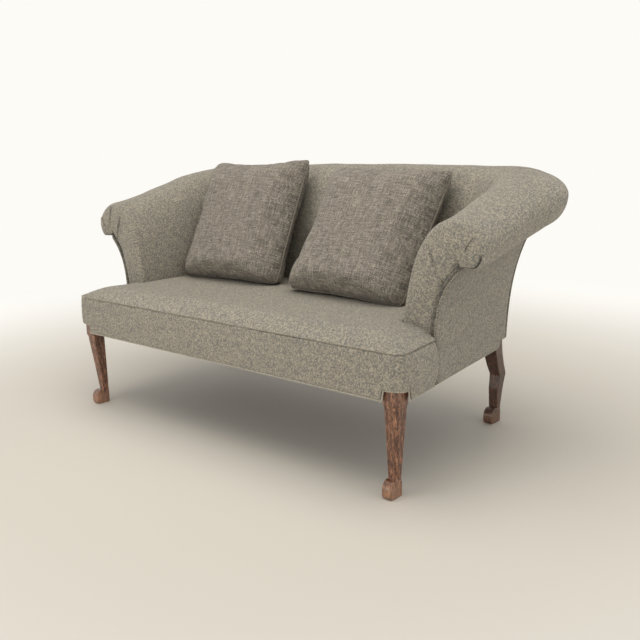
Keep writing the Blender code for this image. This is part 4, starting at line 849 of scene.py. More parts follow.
def borderPath(offset):
    # points with their outward way, from the left arm seam round the front to the right arm seam
    end = sofa["armFrontY"] - sofa["gap"]
    radius = border["corner"] - border["out"] + offset
    centreY = border["corner"] - border["out"]
    centreX = sideX(centreY) - centreY
    xs = [centreX * i / 76 for i in range(77)]
    xs += [legOut - border["notchFront"] + d for d in border["notchStops"]]
    ys = [lerp(centreY, end, i / 20) for i in range(1, 21)]
    ys += [border["notchSide"] + d for d in border["notchStops"][:-1]] + [end - d for d in border["endStops"]]
    right = [(Vector((x, centreY - radius)), Vector((0.0, -1.0))) for x in sorted(xs)]
    for i in range(1, 11):
        angle = -math.pi / 2 * (1 - i / 10)
        way = Vector((math.cos(angle), math.sin(angle)))
        right.append((Vector((centreX, centreY)) + way * radius, way))
    right += [(Vector((sideX(y) + offset, y)), Vector((1.0, 0.0))) for y in sorted(ys)]
    left = [(Vector((-p.x, p.y)), Vector((-w.x, w.y))) for p, w in right[:0:-1]]
    return left + right


def hemRise(point, inset=0.0):
    # 0 along the hem, 1 over the leg; the notch starts on the front and ends on the side
    front = ease((abs(point.x) - (legOut - border["notchFront"] + inset)) / border["turn"] + 0.5)
    return front * ease((border["notchSide"] - inset - point.y) / border["turn"] + 0.5)


def hemFlare(point):
    # the small outward horn at each lower corner of a notch
    front = hump(abs(point.x) - (legOut - border["notchFront"]) + 0.004, 0.006) if point.y < 0 else 0.0
    return front + (hump(point.y - border["notchSide"] - 0.004, 0.006) if point.y > 0.02 else 0.0)


def notchArch(point, rise):
    # the cut rises a little over the middle of the leg's corner
    return border["arch"] * rise * hump(abs(point.x) + point.y - 0.70, 0.03)


def frontBorder():
    path = borderPath(border["out"])
    lengths = cumulative([point for point, way in path])

    def at(stop, t):
        (point, way), along = stop
        rise = hemRise(point)
        hem = lerp(sofa["coverBottom"], border["notchTop"], rise) + notchArch(point, rise)
        puff = lerp(border["puffFront"], border["puffSide"], ease((point.y - 0.01) / 0.06))
        seam = ease((sofa["armFrontY"] - point.y) / 0.008)
        z = lerp(hem, border["top"], t)
        level = (z - sofa["coverBottom"]) / (border["top"] - sofa["coverBottom"])
        out = puff * math.sin(math.pi * clamp(level)) ** 0.7 * seam
        out -= border["topTuck"] * ease((t - 0.94) / 0.06) + border["endTuck"] * (1 - seam)
        out += border["horn"] * hemFlare(point) * (1 - ease(t / 0.22))
        spot = point + way * out
        return (spot.x, spot.y + originY, z), (along, z)

    rows, spots = sweep(list(zip(path, lengths)), border["rows"], at)
    piece = gridPiece("front_border_cover", rows, spots, finish["hopsackTweed"], flip=True)
    return dress(piece, border["swell"], border["seed"], border, "front_border")


frontBorder()
print("front border made")

# Seat: a crowned T-shaped pad, blown up a little by cloth pressure so that it sits full
seat = {
    "edgeZ": 0.4104, "edgeInset": 0.001, "wall": 0.0040, "rise": 0.0340, "roll": 0.090, "crown": 0.001,
    "neckColumns": 46, "wingColumns": 16, "wingRows": 22, "neckRows": 32, "crowd": 1.35, "fill": 0.85,
    "pressure": 3.0, "stiff": 15.0, "slack": 0.0, "cap": 0.003, "frames": 16,
    "swell": (0.0014, 0.10), "seed": 41.0,
}


def seatHeight(x, y, edgeX):
    # a long round up from the front and from the ends, then nearly level
    front = clamp((y + border["out"]) / seat["roll"])
    end = clamp((edgeX - abs(x)) / seat["roll"]) if y < sofa["armFrontY"] else 1.0
    roll = (1 - (1 - front) ** 2.2) * (1 - (1 - end) ** 2.2)
    crown = math.cos(0.5 * math.pi * min(abs(x) / edgeX, 1.0))
    return seat["edgeZ"] + seat["rise"] * roll + seat["crown"] * crown * roll


def inflate(piece, look, pins):
    # cloth pressure from inside, then no point may have gone further than the cap
    rest = np.array([vertex.co for vertex in piece.data.vertices])
    piece.vertex_groups.new(name="pins").add(pins, 1.0, "REPLACE")
    cloth = piece.modifiers.new("stuffing", "CLOTH")
    settings = {"quality": 6, "mass": 0.25, "tension_stiffness": look["stiff"],
                "compression_stiffness": look["stiff"], "shear_stiffness": look["stiff"] / 3,
                "bending_stiffness": 0.6, "shrink_min": look["slack"], "use_pressure": True,
                "uniform_pressure_force": look["pressure"], "vertex_group_mass": "pins"}
    for key, value in settings.items():
        setattr(cloth.settings, key, value)
    cloth.settings.effector_weights.gravity = 0.0
    cloth.collision_settings.use_collision = False
    scene = bpy.context.scene
    for number in range(1, look["frames"] + 1):
        scene.frame_set(number)
    shaped = piece.evaluated_get(bpy.context.evaluated_depsgraph_get())
    moved = np.array([vertex.co for vertex in shaped.to_mesh().vertices]) - rest
    shaped.to_mesh_clear()
    piece.modifiers.clear()
    piece.vertex_groups.clear()
    far = np.linalg.norm(moved, axis=1, keepdims=True)
    moveTo(piece, rest + moved * np.minimum(1.0, look["cap"] / np.maximum(far, 1e-9)))
    scene.frame_set(1)


def mapFlat(data):
    # the weave lies straight when seen from above
    layer = data.loops.layers.uv.get("UVMap") or data.loops.layers.uv.new("UVMap")
    for face in data.faces:
        for loop in face.loops:
            loop[layer].uv = loop.vert.co.xy


def seatPad():
    corner = border["corner"]
    neckCorner = sofa["seatCorner"]
    neckCount = seat["neckColumns"]
    columns = neckCount + seat["wingColumns"]
    neck = sofa["armBase"] - sofa["gap"]
    frontY = -border["out"] + seat["edgeInset"]
    wingEnd = sofa["armFrontY"] - sofa["gap"]
    backEnd = sofa["backBase"] - sofa["gap"]
    ys = [lerp(frontY, wingEnd, (i / seat["wingRows"]) ** seat["crowd"]) for i in range(seat["wingRows"] + 1)]
    ys += [lerp(wingEnd, backEnd, (i + 1) / seat["neckRows"]) for i in range(seat["neckRows"])]
    data = bmesh.new()
    grid = {}
    for i, y in enumerate(ys):
        short = min(max(corner - (y - frontY), 0.0), corner)
        edgeX = sideX(max(y, 0.0)) + border["out"] - seat["edgeInset"]
        edgeX += math.sqrt(corner ** 2 - short ** 2) - corner
        late = max(y - (backEnd - neckCorner), 0.0)
        limit = neck - neckCorner + math.sqrt(max(neckCorner ** 2 - late ** 2, 0.0))
        for j in range((columns if i <= seat["wingRows"] else neckCount) + 1):
            if j <= neckCount:
                x = min(neck * j / neckCount, limit - 0.0004 * (neckCount - j))
            else:
                share = (j - neckCount) / seat["wingColumns"]
                x = lerp(neck, edgeX, 1 - (1 - share) ** seat["crowd"])
            z = seatHeight(x, y, edgeX)
            for side in ((1, -1) if j else (1,)):
                grid[i, side * j] = data.verts.new((side * x, y + originY, z))
    for i in range(len(ys) - 1):
        for j in range(-columns, columns):
            corners = [(i, j), (i, j + 1), (i + 1, j + 1), (i + 1, j)]
            if all(place in grid for place in corners):
                data.faces.new([grid[place] for place in corners])
    grown = bmesh.ops.extrude_face_region(data, geom=list(data.faces), use_keep_orig=True)
    for item in grown["geom"]:  # a short side wall and a flat underside
        if isinstance(item, bmesh.types.BMVert):
            item.co.z = seat["edgeZ"] - seat["wall"]
    bmesh.ops.recalc_face_normals(data, faces=data.faces)
    mapFlat(data)
    piece = addShape("seat_pad_cover", data, finish["hopsackTweed"])
    piece.data.shade_smooth()
    inflate(piece, seat, [v.index for v in piece.data.vertices if v.co.z < seat["edgeZ"] + 0.0002])
    soften(piece, *seat["swell"], seat["seed"])
    keep(piece, "sofa", "tweed", "seat_pad")
    return piece


seatPiece = seatPad()
print("seat pad made")

# Piping along the seams and the hem
piping = {"radius": 0.0022, "seatRadius": 0.0017, "armRadius": 0.0020, "rearRadius": 0.0026, "step": 0.0035,
          "seatZ": 0.4084, "seatIn": 0.0020, "hemZ": 0.2770, "hemIn": 0.0022, "hemInset": 0.0026,
          "hemOut": 0.0054, "notchGap": 0.0034, "armLow": 0.405, "armEnd": 0.010, "armIn": 0.0035,
          "armBack": 0.004, "rearEnd": 0.002, "rearIn": 0.0040, "rearBack": 0.0045}


def hemLine():
    points = []
    for point, way in borderPath(border["out"] - piping["hemIn"]):
        rise = hemRise(point, piping["hemInset"])
        z = lerp(piping["hemZ"], border["notchTop"] - piping["hemInset"], rise) + notchArch(point, rise)
        spot = point + way * (border["horn"] * hemFlare(point) * (1 - rise))
        points.append(Vector((spot.x, spot.y + originY, z)))
    rearY = sofa["depth"] - sofa["rearNotch"] - piping["notchGap"]
    ys = [lerp(sofa["armFrontY"], rearY, i / 40) for i in range(1, 41)]
    extra = [Vector((sideX(y) + piping["hemOut"], y + originY, piping["hemZ"])) for y in ys]
    return [Vector((-p.x, p.y, p.z)) for p in extra[::-1]] + points + extra


def seamLine(side, low, high, panelY, inset, seamY):
    heights = [lerp(low, high, i / 60) for i in range(61)]
    return [Vector((side * (outsideX(panelY, z) - inset), seamY(z) + originY, z)) for z in heights]


def makePiping():
    depth = sofa["depth"]
    x = sofa["rearHalf"] - sofa["rearNotch"] - piping["notchGap"]
    y = depth + piping["hemOut"] + originY
    seatPath = borderPath(border["out"] - piping["seatIn"])
    seatLine = [Vector((point.x, point.y + originY, piping["seatZ"])) for point, way in seatPath]
    backLine = [Vector((lerp(-x, x, i / 80), y, piping["hemZ"])) for i in range(81)]
    lines = [("seat_piping", seatLine, "seatRadius", "tweedPiping", ["seat_welt"]),
             ("hem_piping", hemLine(), "radius", "hemPiping", ["bottom_welt"]),
             ("back_hem_piping", backLine, "radius", "hemPiping", ["back_welt"])]
    for side, label in sides.items():
        armLine = seamLine(side, piping["armLow"], stationAt(0.0)["low"] - piping["armEnd"],
                           sofa["armFrontY"], piping["armIn"],
                           lambda z: sofa["armFrontY"] + piping["armBack"])
        rearLine = seamLine(side, sofa["notchTop"] + piping["rearEnd"], lowAt(depth) - piping["rearEnd"],
                            depth, piping["rearIn"], lambda z: backY(z) - piping["rearBack"])
        lines.append((label + "_arm_seam_piping", armLine, "armRadius", "tweedPiping", []))
        lines.append((label + "_rear_seam_piping", rearLine, "rearRadius", "tweedPiping", []))
    for name, points, radius, cloth, nodes in lines:
        made = followLine(name, points, "coveredPiping", piping[radius], piping["step"], finish[cloth])
        keep(made, "sofa", "tweed_cord", *nodes)


makePiping()
print("piping made")

# Legs: square tapered oak with a coved block and a scroll toe, edges rubbed soft
leg = {"width": 0.046, "blockBottom": 0.264, "cove": 0.016, "step": 0.004, "top": 0.370, "ankleZ": 0.056,
       "ankleWide": 0.029, "ankleDeep": 0.024, "footWide": 0.031, "footHigh": 0.053, "toe": -0.006,
       "sole": 0.014, "heel": 0.001, "voxel": 0.0014, "bevel": 0.0016, "arris": 0.0080, "fill": 0.003,
       "wearAndHighlight": 0.00022,
       # share across the foot, and how far it is drawn in there
       "slices": ((0.0, 0.0022), (0.02, 0.0010), (0.06, 0.0), (0.94, 0.0), (0.98, 0.0010), (1.0, 0.0022))}
rearLeg = {"width": 0.047, "depth": 0.048, "footInset": 0.015, "ankleWide": 0.032, "ankleDeep": 0.023,
           "ankleBack": 0.029, "kneeBack": 0.050, "kneeDeep": 0.044, "kneeZ": 0.168, "thighZ": 0.247,
           "footReach": 0.037, "voxel": 0.0015, "postZ": 0.360}


def roundedRing(low, high, z, side, outerRadius=None):
    # a rectangle in plan with eased corners; the outer front corner may be eased more
    points = []
    corners = [(high[0], high[1], 0.0), (low[0], high[1], 0.5), (low[0], low[1], 1.0), (high[0], low[1], 1.5)]
    for x, y, turn in corners:
        radius = outerRadius if outerRadius and turn == 1.5 else leg["bevel"]
        centreX = x - radius if x == high[0] else x + radius
        centreY = y - radius if y == high[1] else y + radius
        for i in range(5):
            angle = math.pi * (turn + 0.5 * i / 4)
            spot = (centreX + radius * math.cos(angle), centreY + radius * math.sin(angle))
            points.append((side * spot[0], spot[1] + originY, z))
    return points


def loftInto(data, rings):
    made = [[data.verts.new(point) for point in ring] for ring in rings]
    count = len(made[0])
    for near, far in zip(made, made[1:]):
        for i in range(count):
            j = (i + 1) % count
            data.faces.new((near[i], near[j], far[j], far[i]))
    data.faces.new(made[0])
    data.faces.new(made[-1])


def footInto(data, low, high, toe, heel, side):
    # side view: sole, heel, instep and the scroll of the toe
    tall = leg["footHigh"]
    sole = leg["sole"]
    topRound = (heel - toe) * 0.45
    outline = [(heel - 0.002, 0.0), (heel, 0.003), (heel, tall * 0.80)]
    for i in range(13):
        angle = math.pi / 2 * (1 + i / 12)
        outline.append((toe + topRound + topRound * math.cos(angle), tall / 2 + tall / 2 * math.sin(angle)))
    for i in range(7):
        angle = math.pi * (1 + 0.5 * i / 6)
        outline.append((toe + sole + sole * math.cos(angle), sole + sole * math.sin(angle)))
    middle = sum((Vector(spot) for spot in outline), Vector((0.0, 0.0))) / len(outline)
    # slices across the foot, drawn in a little at both faces
    rings = []
    for share, pull in leg["slices"]:
        ring = []
        for y, z in outline:
            away = (Vector((y, z)) - middle).normalized() * pull
            ring.append((side * lerp(low, high, share), y - away.x + originY, max(z - away.y, 0.0)))
        rings.append(ring)
    loftInto(data, rings)


def readAll(items, key, width, kind=float):
    values = np.zeros(len(items) * width, kind)
    items.foreach_get(key, values)
    return values.reshape(-1, width)


def markWearAndHighlight(mesh):
    # how much an edge stands out, for the rubbed finish and its painted highlight
    spots = readAll(mesh.vertices, "co", 3)
    normals = readAll(mesh.vertices, "normal", 3)
    ends = readAll(mesh.edges, "vertices", 2, np.int64)

    def mean(own, given):
        total = own.copy()
        hits = np.ones(len(spots))
        for near, far in ((ends[:, 0], ends[:, 1]), (ends[:, 1], ends[:, 0])):
            np.add.at(total, near, given(near, far))
            np.add.at(hits, near, 1.0)
        return total / hits

    value = mean(np.zeros(len(spots)),
                 lambda near, far: -np.einsum("ij,ij->i", spots[far] - spots[near], normals[near]))
    for _ in range(3):
        value = mean(value, lambda near, far: value[far])
    wearAndHighlight = np.clip(value / leg["wearAndHighlight"] - 0.25, 0.0, 1.0)
    wearAndHighlight = np.clip(wearAndHighlight + 0.55 * np.clip((0.050 - spots[:, 2]) / 0.02, 0.0, 1.0), 0.0, 1.0)  # painted highlight on the toes, with their kicked wear
    store = mesh.attributes.new("wearAndHighlight", "FLOAT", "POINT")
    store.data.foreach_set("value", wearAndHighlight.astype(np.float32))


def carve(name, data, voxel, wood):
    bmesh.ops.recalc_face_normals(data, faces=data.faces)
    piece = addShape(name, data, wood)
    blend = piece.modifiers.new("carve", "REMESH")
    blend.mode = "VOXEL"
    blend.voxel_size = voxel
    blend.use_smooth_shade = True
    rub = piece.modifiers.new("rub", "SMOOTH")
    rub.factor = 0.5
    rub.iterations = 1
    settle(piece)
    if not piece.data.materials:
        piece.data.materials.append(wood)
    markWearAndHighlight(piece.data)
    return piece


def frontLegPiece(side):
    label = sides[side]
    data = bmesh.new()
    inner = legOut - leg["width"] - leg["fill"]
    deep = leg["width"] + leg["fill"] / 2
    under = leg["blockBottom"] - leg["cove"]
    ankle = ((inner, deep - leg["ankleDeep"]), (inner + leg["ankleWide"], deep))
    neck = ((inner + leg["step"] / 2, leg["step"]), (legOut - leg["step"], deep))
    block = ((inner, 0.0), (legOut, deep))
    levels = []
    for i in range(25):
        z = lerp(leg["ankleZ"] / 2, under, i / 24)
        share = clamp((z - leg["ankleZ"]) / (under - leg["ankleZ"]))
        levels.append((z, ankle, neck, 0.88 * share + 0.12 * share * share))
    for i in range(1, 9):  # the cove under the block
        angle = math.pi / 2 * i / 8
        levels.append((under + leg["cove"] * math.sin(angle), neck, block, 1 - math.cos(angle)))
    levels.append((leg["top"], neck, block, 1.0))
    rings = []
    for z, first, last, share in levels:
        low, high = (tuple(lerp(a, b, share) for a, b in zip(near, far)) for near, far in zip(first, last))
        rings.append(roundedRing(low, high, z, side, leg["arris"]))
    loftInto(data, rings)
    footIn = inner + leg["ankleWide"] - leg["footWide"] + 0.002
    footInto(data, footIn, footIn + leg["footWide"], leg["toe"], deep + leg["heel"], side)
    piece = carve("front_%s_oak_leg" % label, data, leg["voxel"], finish["oak"])
    return keep(piece, "sofa", "leg_wood", "front_%s_leg" % label)


def rearLegPiece(side):
    label = sides[side]
    data = bmesh.new()
    outer = sofa["rearHalf"]
    inner = outer - rearLeg["width"]
    deep = sofa["depth"]
    footOut = outer - rearLeg["footInset"]
    ankleIn = footOut - rearLeg["ankleWide"]
    ankleBack = deep + rearLeg["ankleBack"]
    ankleFront = ankleBack - rearLeg["ankleDeep"]
    kneeBack = deep + rearLeg["kneeBack"]
    # height, how far the leg has come out to its full place across, front, back
    marks = [
        (leg["ankleZ"] / 2, 0.0, ankleFront, ankleBack), (leg["ankleZ"], 0.0, ankleFront, ankleBack),
        (0.118, 0.18, 0.7160, 0.7533), (rearLeg["kneeZ"], 0.4, kneeBack - rearLeg["kneeDeep"], kneeBack),
        (0.201, 0.7, 0.6990, 0.7430), (rearLeg["thighZ"], 1.0, deep - rearLeg["depth"] + 0.010, deep + 0.006),
        (0.284, 1.0, deep - rearLeg["depth"], deep), (leg["top"], 1.0, deep - rearLeg["depth"], deep),
    ]
    heights, places, fronts, backs = zip(*marks)
    rings = []
    for i in range(61):
        z = lerp(heights[0], heights[-1], i / 60)
        share, near, far = (float(np.interp(z, heights, values)) for values in (places, fronts, backs))
        low = (lerp(ankleIn, inner, share), near)
        rings.append(roundedRing(low, (lerp(footOut, outer, share), far), z, side))
    loftInto(data, rings)
    toe = ankleFront - rearLeg["footReach"]
    footInto(data, ankleIn - 0.001, footOut + 0.001, toe, ankleBack + leg["heel"], side)
    # the rear legs take the darker oak, which is painted shade
    piece = carve("rear_%s_oak_leg" % label, data, rearLeg["voxel"], finish["rearOak"])
    # the hidden back post above the seat frame is copied from the solid
    post = bmesh.new()
    post.from_mesh(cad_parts["rear_%s_leg" % label].data)
    bmesh.ops.remove_doubles(post, verts=post.verts, dist=0.00002)
    bmesh.ops.bisect_plane(post, geom=post.verts[:] + post.edges[:] + post.faces[:],
                           plane_co=(0, 0, rearLeg["postZ"]), plane_no=(0, 0, 1), clear_inner=True)
    bmesh.ops.holes_fill(post, edges=[edge for edge in post.edges if edge.is_boundary])
    bmesh.ops.recalc_face_normals(post, faces=post.faces)
    post.from_mesh(piece.data)
    post.to_mesh(piece.data)
    post.free()
    while len(piece.data.materials) > 1:
        piece.data.materials.pop(index=len(piece.data.materials) - 1)
    return keep(piece, "sofa", "leg_wood", "rear_%s_leg" % label)


for makeLeg in (frontLegPiece, rearLegPiece):
    for side in sides:
        makeLeg(side)
print("legs made")

# Pillows: two square panels sewn edge to edge, blown up by cloth pressure, then leaned on the back
pillow = {
    "size": 0.480, "half": 0.090, "cells": 44, "cut": 0.488, "draw": 0.012, "full": 4.5, "lowFull": 18.0,
    "plump": 0.9, "round": 0.55, "ear": 0.030, "fill": 0.7,
    "pressure": 2.4, "stiff": 22.0, "slack": -0.030, "cap": 0.013, "frames": 24,
    "creases": 0.0026, "gap": 0.0012, "pipe": 0.0026, "pipeOut": 0.0016, "pipeGap": 0.0008, "pipeStep": 0.004,
    "left": {"turns": (-26, -1.2, 1), "seed": 51.0, "sag": 0.014, "shift": (-0.004, 0.0, 0.0)},
    "right": {"turns": (-33.5, 1.2, -2), "seed": 67.0, "sag": 0.006, "shift": (0.0, 0.0, 0.0)},
}


def pillowPanels(name):
    count = pillow["cells"]
    half = pillow["cut"] / 2
    points = []
    index = {}
    for sign in (-1, 1):
        for i in range(count + 1):
            for j in range(count + 1):
                rim = i in (0, count) or j in (0, count)
                if rim and sign > 0:
                    index[sign, i, j] = index[-1, i, j]
                    continue
                u = 2 * j / count - 1
                v = 2 * i / count - 1
                power = pillow["full"] if v > 0 else pillow["lowFull"]  # the filling settles low
                full = max((1 - abs(u) ** pillow["full"]) * (1 - abs(v) ** power), 0.0)
                depth = pillow["plump"] * pillow["half"] * full ** pillow["round"]
                # the sides draw in a little between the corners, and the corners are sewn round
                ear = 1 - pillow["ear"] * (abs(u) * abs(v)) ** 10
                x = u * half * (1 - pillow["draw"] * (1 - v * v)) * ear
                z = v * half * (1 - pillow["draw"] * (1 - u * u)) * ear
                index[sign, i, j] = len(points)
                points.append((x, sign * depth, z))
    faces = []
    spots = []
    for sign in (-1, 1):
        for i in range(count):
            for j in range(count):
                corners = [(i, j), (i, j + 1), (i + 1, j + 1), (i + 1, j)]
                corners = corners if sign < 0 else corners[::-1]
                faces.append([index[(sign, *corner)] for corner in corners])
                for a, b in corners:
                    spots.append(((b / count - 0.5) * 2 * half + sign, (a / count - 0.5) * 2 * half))
    mesh = bpy.data.meshes.new(name)
    mesh.from_pydata(points, [], faces)
    layer = mesh.uv_layers.new(name="UVMap")
    layer.data.foreach_set("uv", np.array(spots, np.float32).ravel())
    mesh.shade_smooth()
    edge = [(0, j) for j in range(count)] + [(i, count) for i in range(count)]
    edge += [(count, j) for j in range(count, 0, -1)] + [(i, 0) for i in range(count, 0, -1)]
    seam = [index[(-1, *place)] for place in edge]
    return addObject(name, mesh, finish["slubLinen"]), seam


def surfaceOf(piece):
    points = [vertex.co.copy() for vertex in piece.data.vertices]
    return BVHTree.FromPolygons(points, [list(face.vertices) for face in piece.data.polygons])


# What a pillow leans on, and the way each faces
rests = [(surfaceOf(seatPiece), Vector((0.0, 0.0, 1.0))), (surfaceOf(backPiece), Vector((0.0, -1.0, 0.2)))]


def pushClear(spots, clear):
    # a point inside or against a cover goes back out to a soft gap from it
    for k in range(len(spots)):
        for surface, way in rests:
            near, normal, _, distance = surface.find_nearest(spots[k])
            if near is None or distance > 0.06:
                continue
            depth = (spots[k] - near).dot(normal)
            if normal.dot(way) > 0.1 and depth < clear:
                spots[k] = spots[k] + normal * (clear - depth)
    return spots


def makePillow(side):
    label = sides[side]
    look = pillow[label]
    half = pillow["size"] / 2
    piece, seam = pillowPanels(label + "_pillow_cover")
    inflate(piece, pillow, seam)
    spots = np.array([vertex.co for vertex in piece.data.vertices])
    low = spots.min(0)
    high = spots.max(0)
    spots = (spots - (low + high) / 2) / (high - low) * 2 * np.array([half, pillow["half"], half])
    seed = Vector((look["seed"], 0.0, look["seed"]))
    for spot in spots:  # slack creases, strongest towards the corners
        u = spot[0] / half
        v = spot[2] / half
        corner = (u * u * v * v) ** 0.5
        away = math.copysign(1.0, spot[1]) if abs(spot[1]) > 0.004 else 0.0
        fold = noise.noise(Vector(spot) * 9 + seed) + 0.5 * noise.noise(Vector(spot) * 21 + seed)
        spin = math.atan2(abs(v) - 1.05, abs(u) - 1.05)
        ray = math.sin(spin * 11 + look["seed"]) * corner
        spot[1] += away * pillow["creases"] * (fold * (0.5 + corner) + 0.8 * ray)
        spot[2] -= look["sag"] * max(v, 0.0) ** 2 * (1 - u * u)
    moveTo(piece, spots)
    smooth = piece.modifiers.new("smooth", "SUBSURF")
    smooth.levels = 1
    smooth.render_levels = 1
    settle(piece)
    turn = Euler([math.radians(a) for a in look["turns"]]).to_matrix()
    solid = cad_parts[label + "_pillow"].data
    local = np.array([turn.transposed() @ vertex.co for vertex in solid.vertices])
    centre = Vector((local.min(0) + local.max(0)) / 2) + Vector(look["shift"])
    moveTo(piece, pushClear([turn @ (vertex.co + centre) for vertex in piece.data.vertices], pillow["gap"]))
    keep(piece, label + "_pillow", "linen", label + "_pillow")
    # piping sits just outside the sewn edge
    line = [piece.data.vertices[k].co.copy() for k in seam]
    outward = []
    for k, spot in enumerate(line):
        way = (line[(k + 1) % len(line)] - line[k - 1]).normalized()
        out = way.cross(turn @ Vector((0.0, 1.0, 0.0))).normalized()
        outward.append(spot + out * math.copysign(pillow["pipeOut"], out.dot(spot - turn @ centre)))
    outward = pushClear(outward, pillow["pipe"] + pillow["pipeGap"])
    cord = followLine(label + "_pillow_piping", outward, "coveredPiping", pillow["pipe"], pillow["pipeStep"],
                      finish["linenPiping"], True)
    keep(cord, label + "_pillow", "linen_cord", label + "_pillow_welt")


for side in sides:
    makePillow(side)
print("pillows made")

# Under the seat: black lining tacked to the rails, hessian on the springs, felt above it
under = {"sag": 0.006, "thick": 0.0006, "columns": 60, "rows": 30, "inset": 0.0042, "legDeep": 0.048,
         "legGap": 0.001, "tack": 0.0040, "spacing": 0.045, "tackInset": 0.012,
         "tackHalf": {"front": 0.62, "rear": 0.56}, "coreGap": 0.0046}


def underSeat():
    # a cloth stretched inside the solid's outline, cut round the legs and hanging a little in the middle
    low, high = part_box("dust_cover")
    legIn = (legOut - leg["width"] - under["legGap"], sofa["rearHalf"] - rearLeg["width"] - under["legGap"])

    def at(v, share):
        u = 2 * share - 1
        y = lerp(low.y, high.y, v)
        half = min(sideX(y - originY) - under["inset"], high.x)
        if min(v, 1 - v) * (high.y - low.y) < under["legDeep"]:
            half = min(half, legIn[0] if v < 0.5 else legIn[1])
        z = lerp(low.z, high.z, 0.5) - under["sag"] * (1 - u * u) * math.sin(math.pi * v)
        return (u * half, y, z), (u * half, y)

    rows, spots = sweep([i / under["rows"] for i in range(under["rows"] + 1)], under["columns"], at)
    piece = gridPiece("lining_sheet", rows, spots, finish["blackCambric"])
    thicken(piece, under["thick"])
    keep(piece, "sofa", "black_lining", "dust_cover")
    for end, y in (("front", low.y + under["tackInset"]), ("rear", high.y - under["tackInset"])):
        half = under["tackHalf"][end]
        line = [Vector((lerp(-half, half, i / 40), y, low.z - 0.0004)) for i in range(41)]
        made = followLine(end + "_lining_tacks", line, "liningTacks", under["tack"], under["spacing"],
                          finish["steel"])
        keep(made, "sofa", "steel")


def innerPiece(node, name, material, slotName):
    # hidden, but made as what it is: the solid's own form, kept just under the pad
    data = bmesh.new()
    data.from_mesh(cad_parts[node].data)
    bmesh.ops.remove_doubles(data, verts=data.verts, dist=0.00002)
    mapFlat(data)
    for vertex in data.verts:
        vertex.co.z = min(vertex.co.z, seat["edgeZ"] - under["coreGap"])
    return keep(addShape(name, data, material), "sofa", slotName, node)


def innerSeat():
    deck = innerPiece("spring_deck", "hessian_deck", finish["juteHessian"], "hessian")
    innerPiece("seat_core", "felt_core", finish["felt"], "stuffing")


underSeat()
innerSeat()
print("under seat made")

# Carried-over solids: frame timber by the way its grain runs, screws and springs in steel
grainWays = {"front_seat_rail": "X", "rear_seat_rail": "X", "crest_rail": "X", "back_tack_rail": "X",
             "left_seat_rail": "Y", "right_seat_rail": "Y", "seat_brace": "Y", "left_arm_rail": "Y",
             "right_arm_rail": "Y", "left_arm_tack_rail": "Y", "right_arm_tack_rail": "Y"}
for name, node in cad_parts.items():
    if node.hide_render:
        continue
    node.data.materials.clear()
    metal = "screw" in name or "spring" in name
    node.data.materials.append(finish["steel"] if metal else finish["frame"][grainWays.get(name, "Z")])

# Studio: pale floor that fades to white, one large soft lamp above, a weak fill and low lamps all round
studio = {
    "floorNear": "dedad3", "floorFar": "f6f4ef", "beyond": "fdfbf6", "lamp": "fff8ec", "sky": 0.435,
    "half": 30.0, "fade": (1.0, 3.2),
    "lamps": {  # place, size, power, goal
        "key": ((0.2, -0.5, 3.2), (3.2, 3.2), 69.0, (0.0, 0.0, 0.3)),
        "fill": ((1.6, -3.2, 1.6), (2.4, 2.0), 1.0, (0.0, 0.0, 0.45)),
        "lowFront": ((-0.5, -3.6, 0.45), (1.8, 0.8), 27.0, (0.0, 0.0, 0.3)),
        "lowRight": ((3.6, 0.0, 0.45), (1.8, 0.8), 17.0, (0.0, 0.0, 0.3)),
        "lowLeft": ((-3.6, 0.0, 0.45), (1.8, 0.8), 17.0, (0.0, 0.0, 0.3)),
        "lowBack": ((0.0, 3.6, 0.45), (1.8, 0.8), 17.0, (0.0, 0.0, 0.3)),
    },
}


def seenRays(tree):
    # 1 for rays from the camera, straight or by way of a mirror or glass
    path = addNode(tree, "LightPath").outputs
    seen = path["Is Camera Ray"]
    for kind in ("Is Glossy Ray", "Is Transmission Ray"):
        seen = addNode(tree, "Math", {0: seen, 1: path[kind]}, operation="MAXIMUM").outputs[0]
    return seen


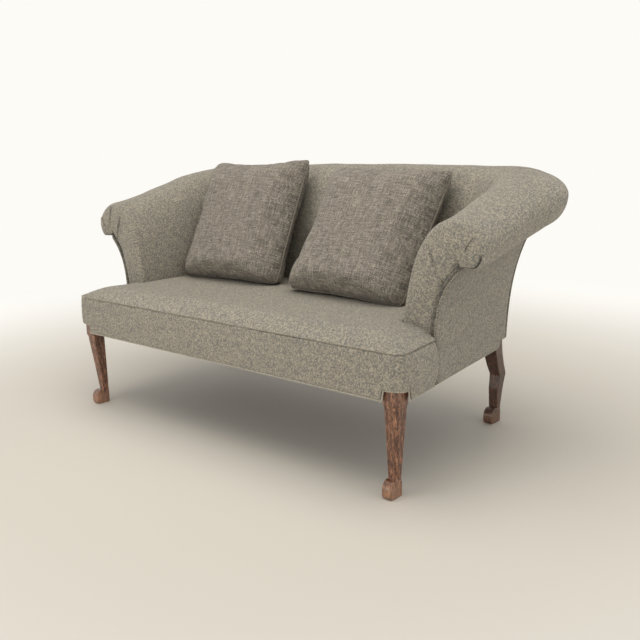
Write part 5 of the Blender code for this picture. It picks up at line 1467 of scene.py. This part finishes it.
def makeFloor():
    half = studio["half"]
    mesh = bpy.data.meshes.new("floor")
    corners = [(-half, -half, 0), (half, -half, 0), (half, half, 0), (-half, half, 0)]
    mesh.from_pydata(corners, [], [(0, 1, 2, 3)])
    material, tree, shader = newMaterial("paleFloor", {"Roughness": 0.75, "Specular IOR Level": 0.2})
    spot = addNode(tree, "TexCoord").outputs["Object"]
    far = addNode(tree, "VectorMath", {0: spot}, operation="LENGTH").outputs["Value"]
    near, beyond = studio["fade"]
    share = addNode(tree, "MapRange", {"From Min": near, "From Max": beyond, "Value": far},
                    interpolation_type="SMOOTHSTEP").outputs[0]
    tone = addNode(tree, "Mix", {0: share, 6: colour(studio["floorNear"]), 7: colour(studio["floorFar"])},
                   data_type="RGBA")
    feed(tree, shader, {"Base Color": tone.outputs[2]})
    white = addNode(tree, "Math", {0: share, 1: seenRays(tree)}, operation="MULTIPLY")
    glow = addNode(tree, "Emission", {"Color": colour(studio["beyond"]), "Strength": 1.0})
    both = addNode(tree, "MixShader", {0: white.outputs[0], 1: shader.outputs[0], 2: glow.outputs[0]})
    feed(tree, tree.nodes["Material Output"], {"Surface": both.outputs[0]})
    addObject("floor", mesh, material)


def makeLights():
    world = bpy.data.worlds.new("studio")
    bpy.context.scene.world = world
    world.use_nodes = True
    tree = world.node_tree
    level = addNode(tree, "MapRange", {"To Min": studio["sky"], "To Max": 1.0, "Value": seenRays(tree)})
    feed(tree, tree.nodes["Background"], {"Color": colour(studio["beyond"]), "Strength": level.outputs[0]})
    for name, (place, size, power, goal) in studio["lamps"].items():
        lamp = bpy.data.lights.new(name, "AREA")
        lamp.shape = "RECTANGLE"
        lamp.size, lamp.size_y = size
        lamp.energy = power
        lamp.color = colour(studio["lamp"])[:3]
        light = bpy.data.objects.new(name, lamp)
        bpy.context.scene.collection.objects.link(light)
        light.visible_camera = False
        light.location = place
        light.rotation_euler = (Vector(goal) - Vector(place)).to_track_quat("-Z", "Y").to_euler()


makeFloor()
makeLights()

# Camera as solved for the photograph's viewpoint
camera = {"place": (1.8008, -2.0156, 0.9212), "heading": 40.6077, "pitch": -12.3541, "roll": 1.1051,
          "lens": 43.758}


def makeCamera():
    turn = Matrix.Identity(3)
    for key, axis in (("heading", "Z"), ("pitch", "X"), ("roll", "Y")):
        turn = turn @ Matrix.Rotation(math.radians(camera[key]), 3, axis)
    lens = bpy.data.cameras.new("camera")
    lens.lens = camera["lens"]
    lens.sensor_width = 36.0
    lens.sensor_fit = "HORIZONTAL"
    eye = bpy.data.objects.new("camera", lens)
    bpy.context.scene.collection.objects.link(eye)
    right, forward, up = (turn.col[i] for i in range(3))
    facing = Matrix((right, up, -forward)).transposed().to_4x4()
    eye.matrix_world = Matrix.Translation(camera["place"]) @ facing
    bpy.context.scene.camera = eye


makeCamera()
bpy.context.scene.view_settings.view_transform = "Standard"
print("studio and camera made")
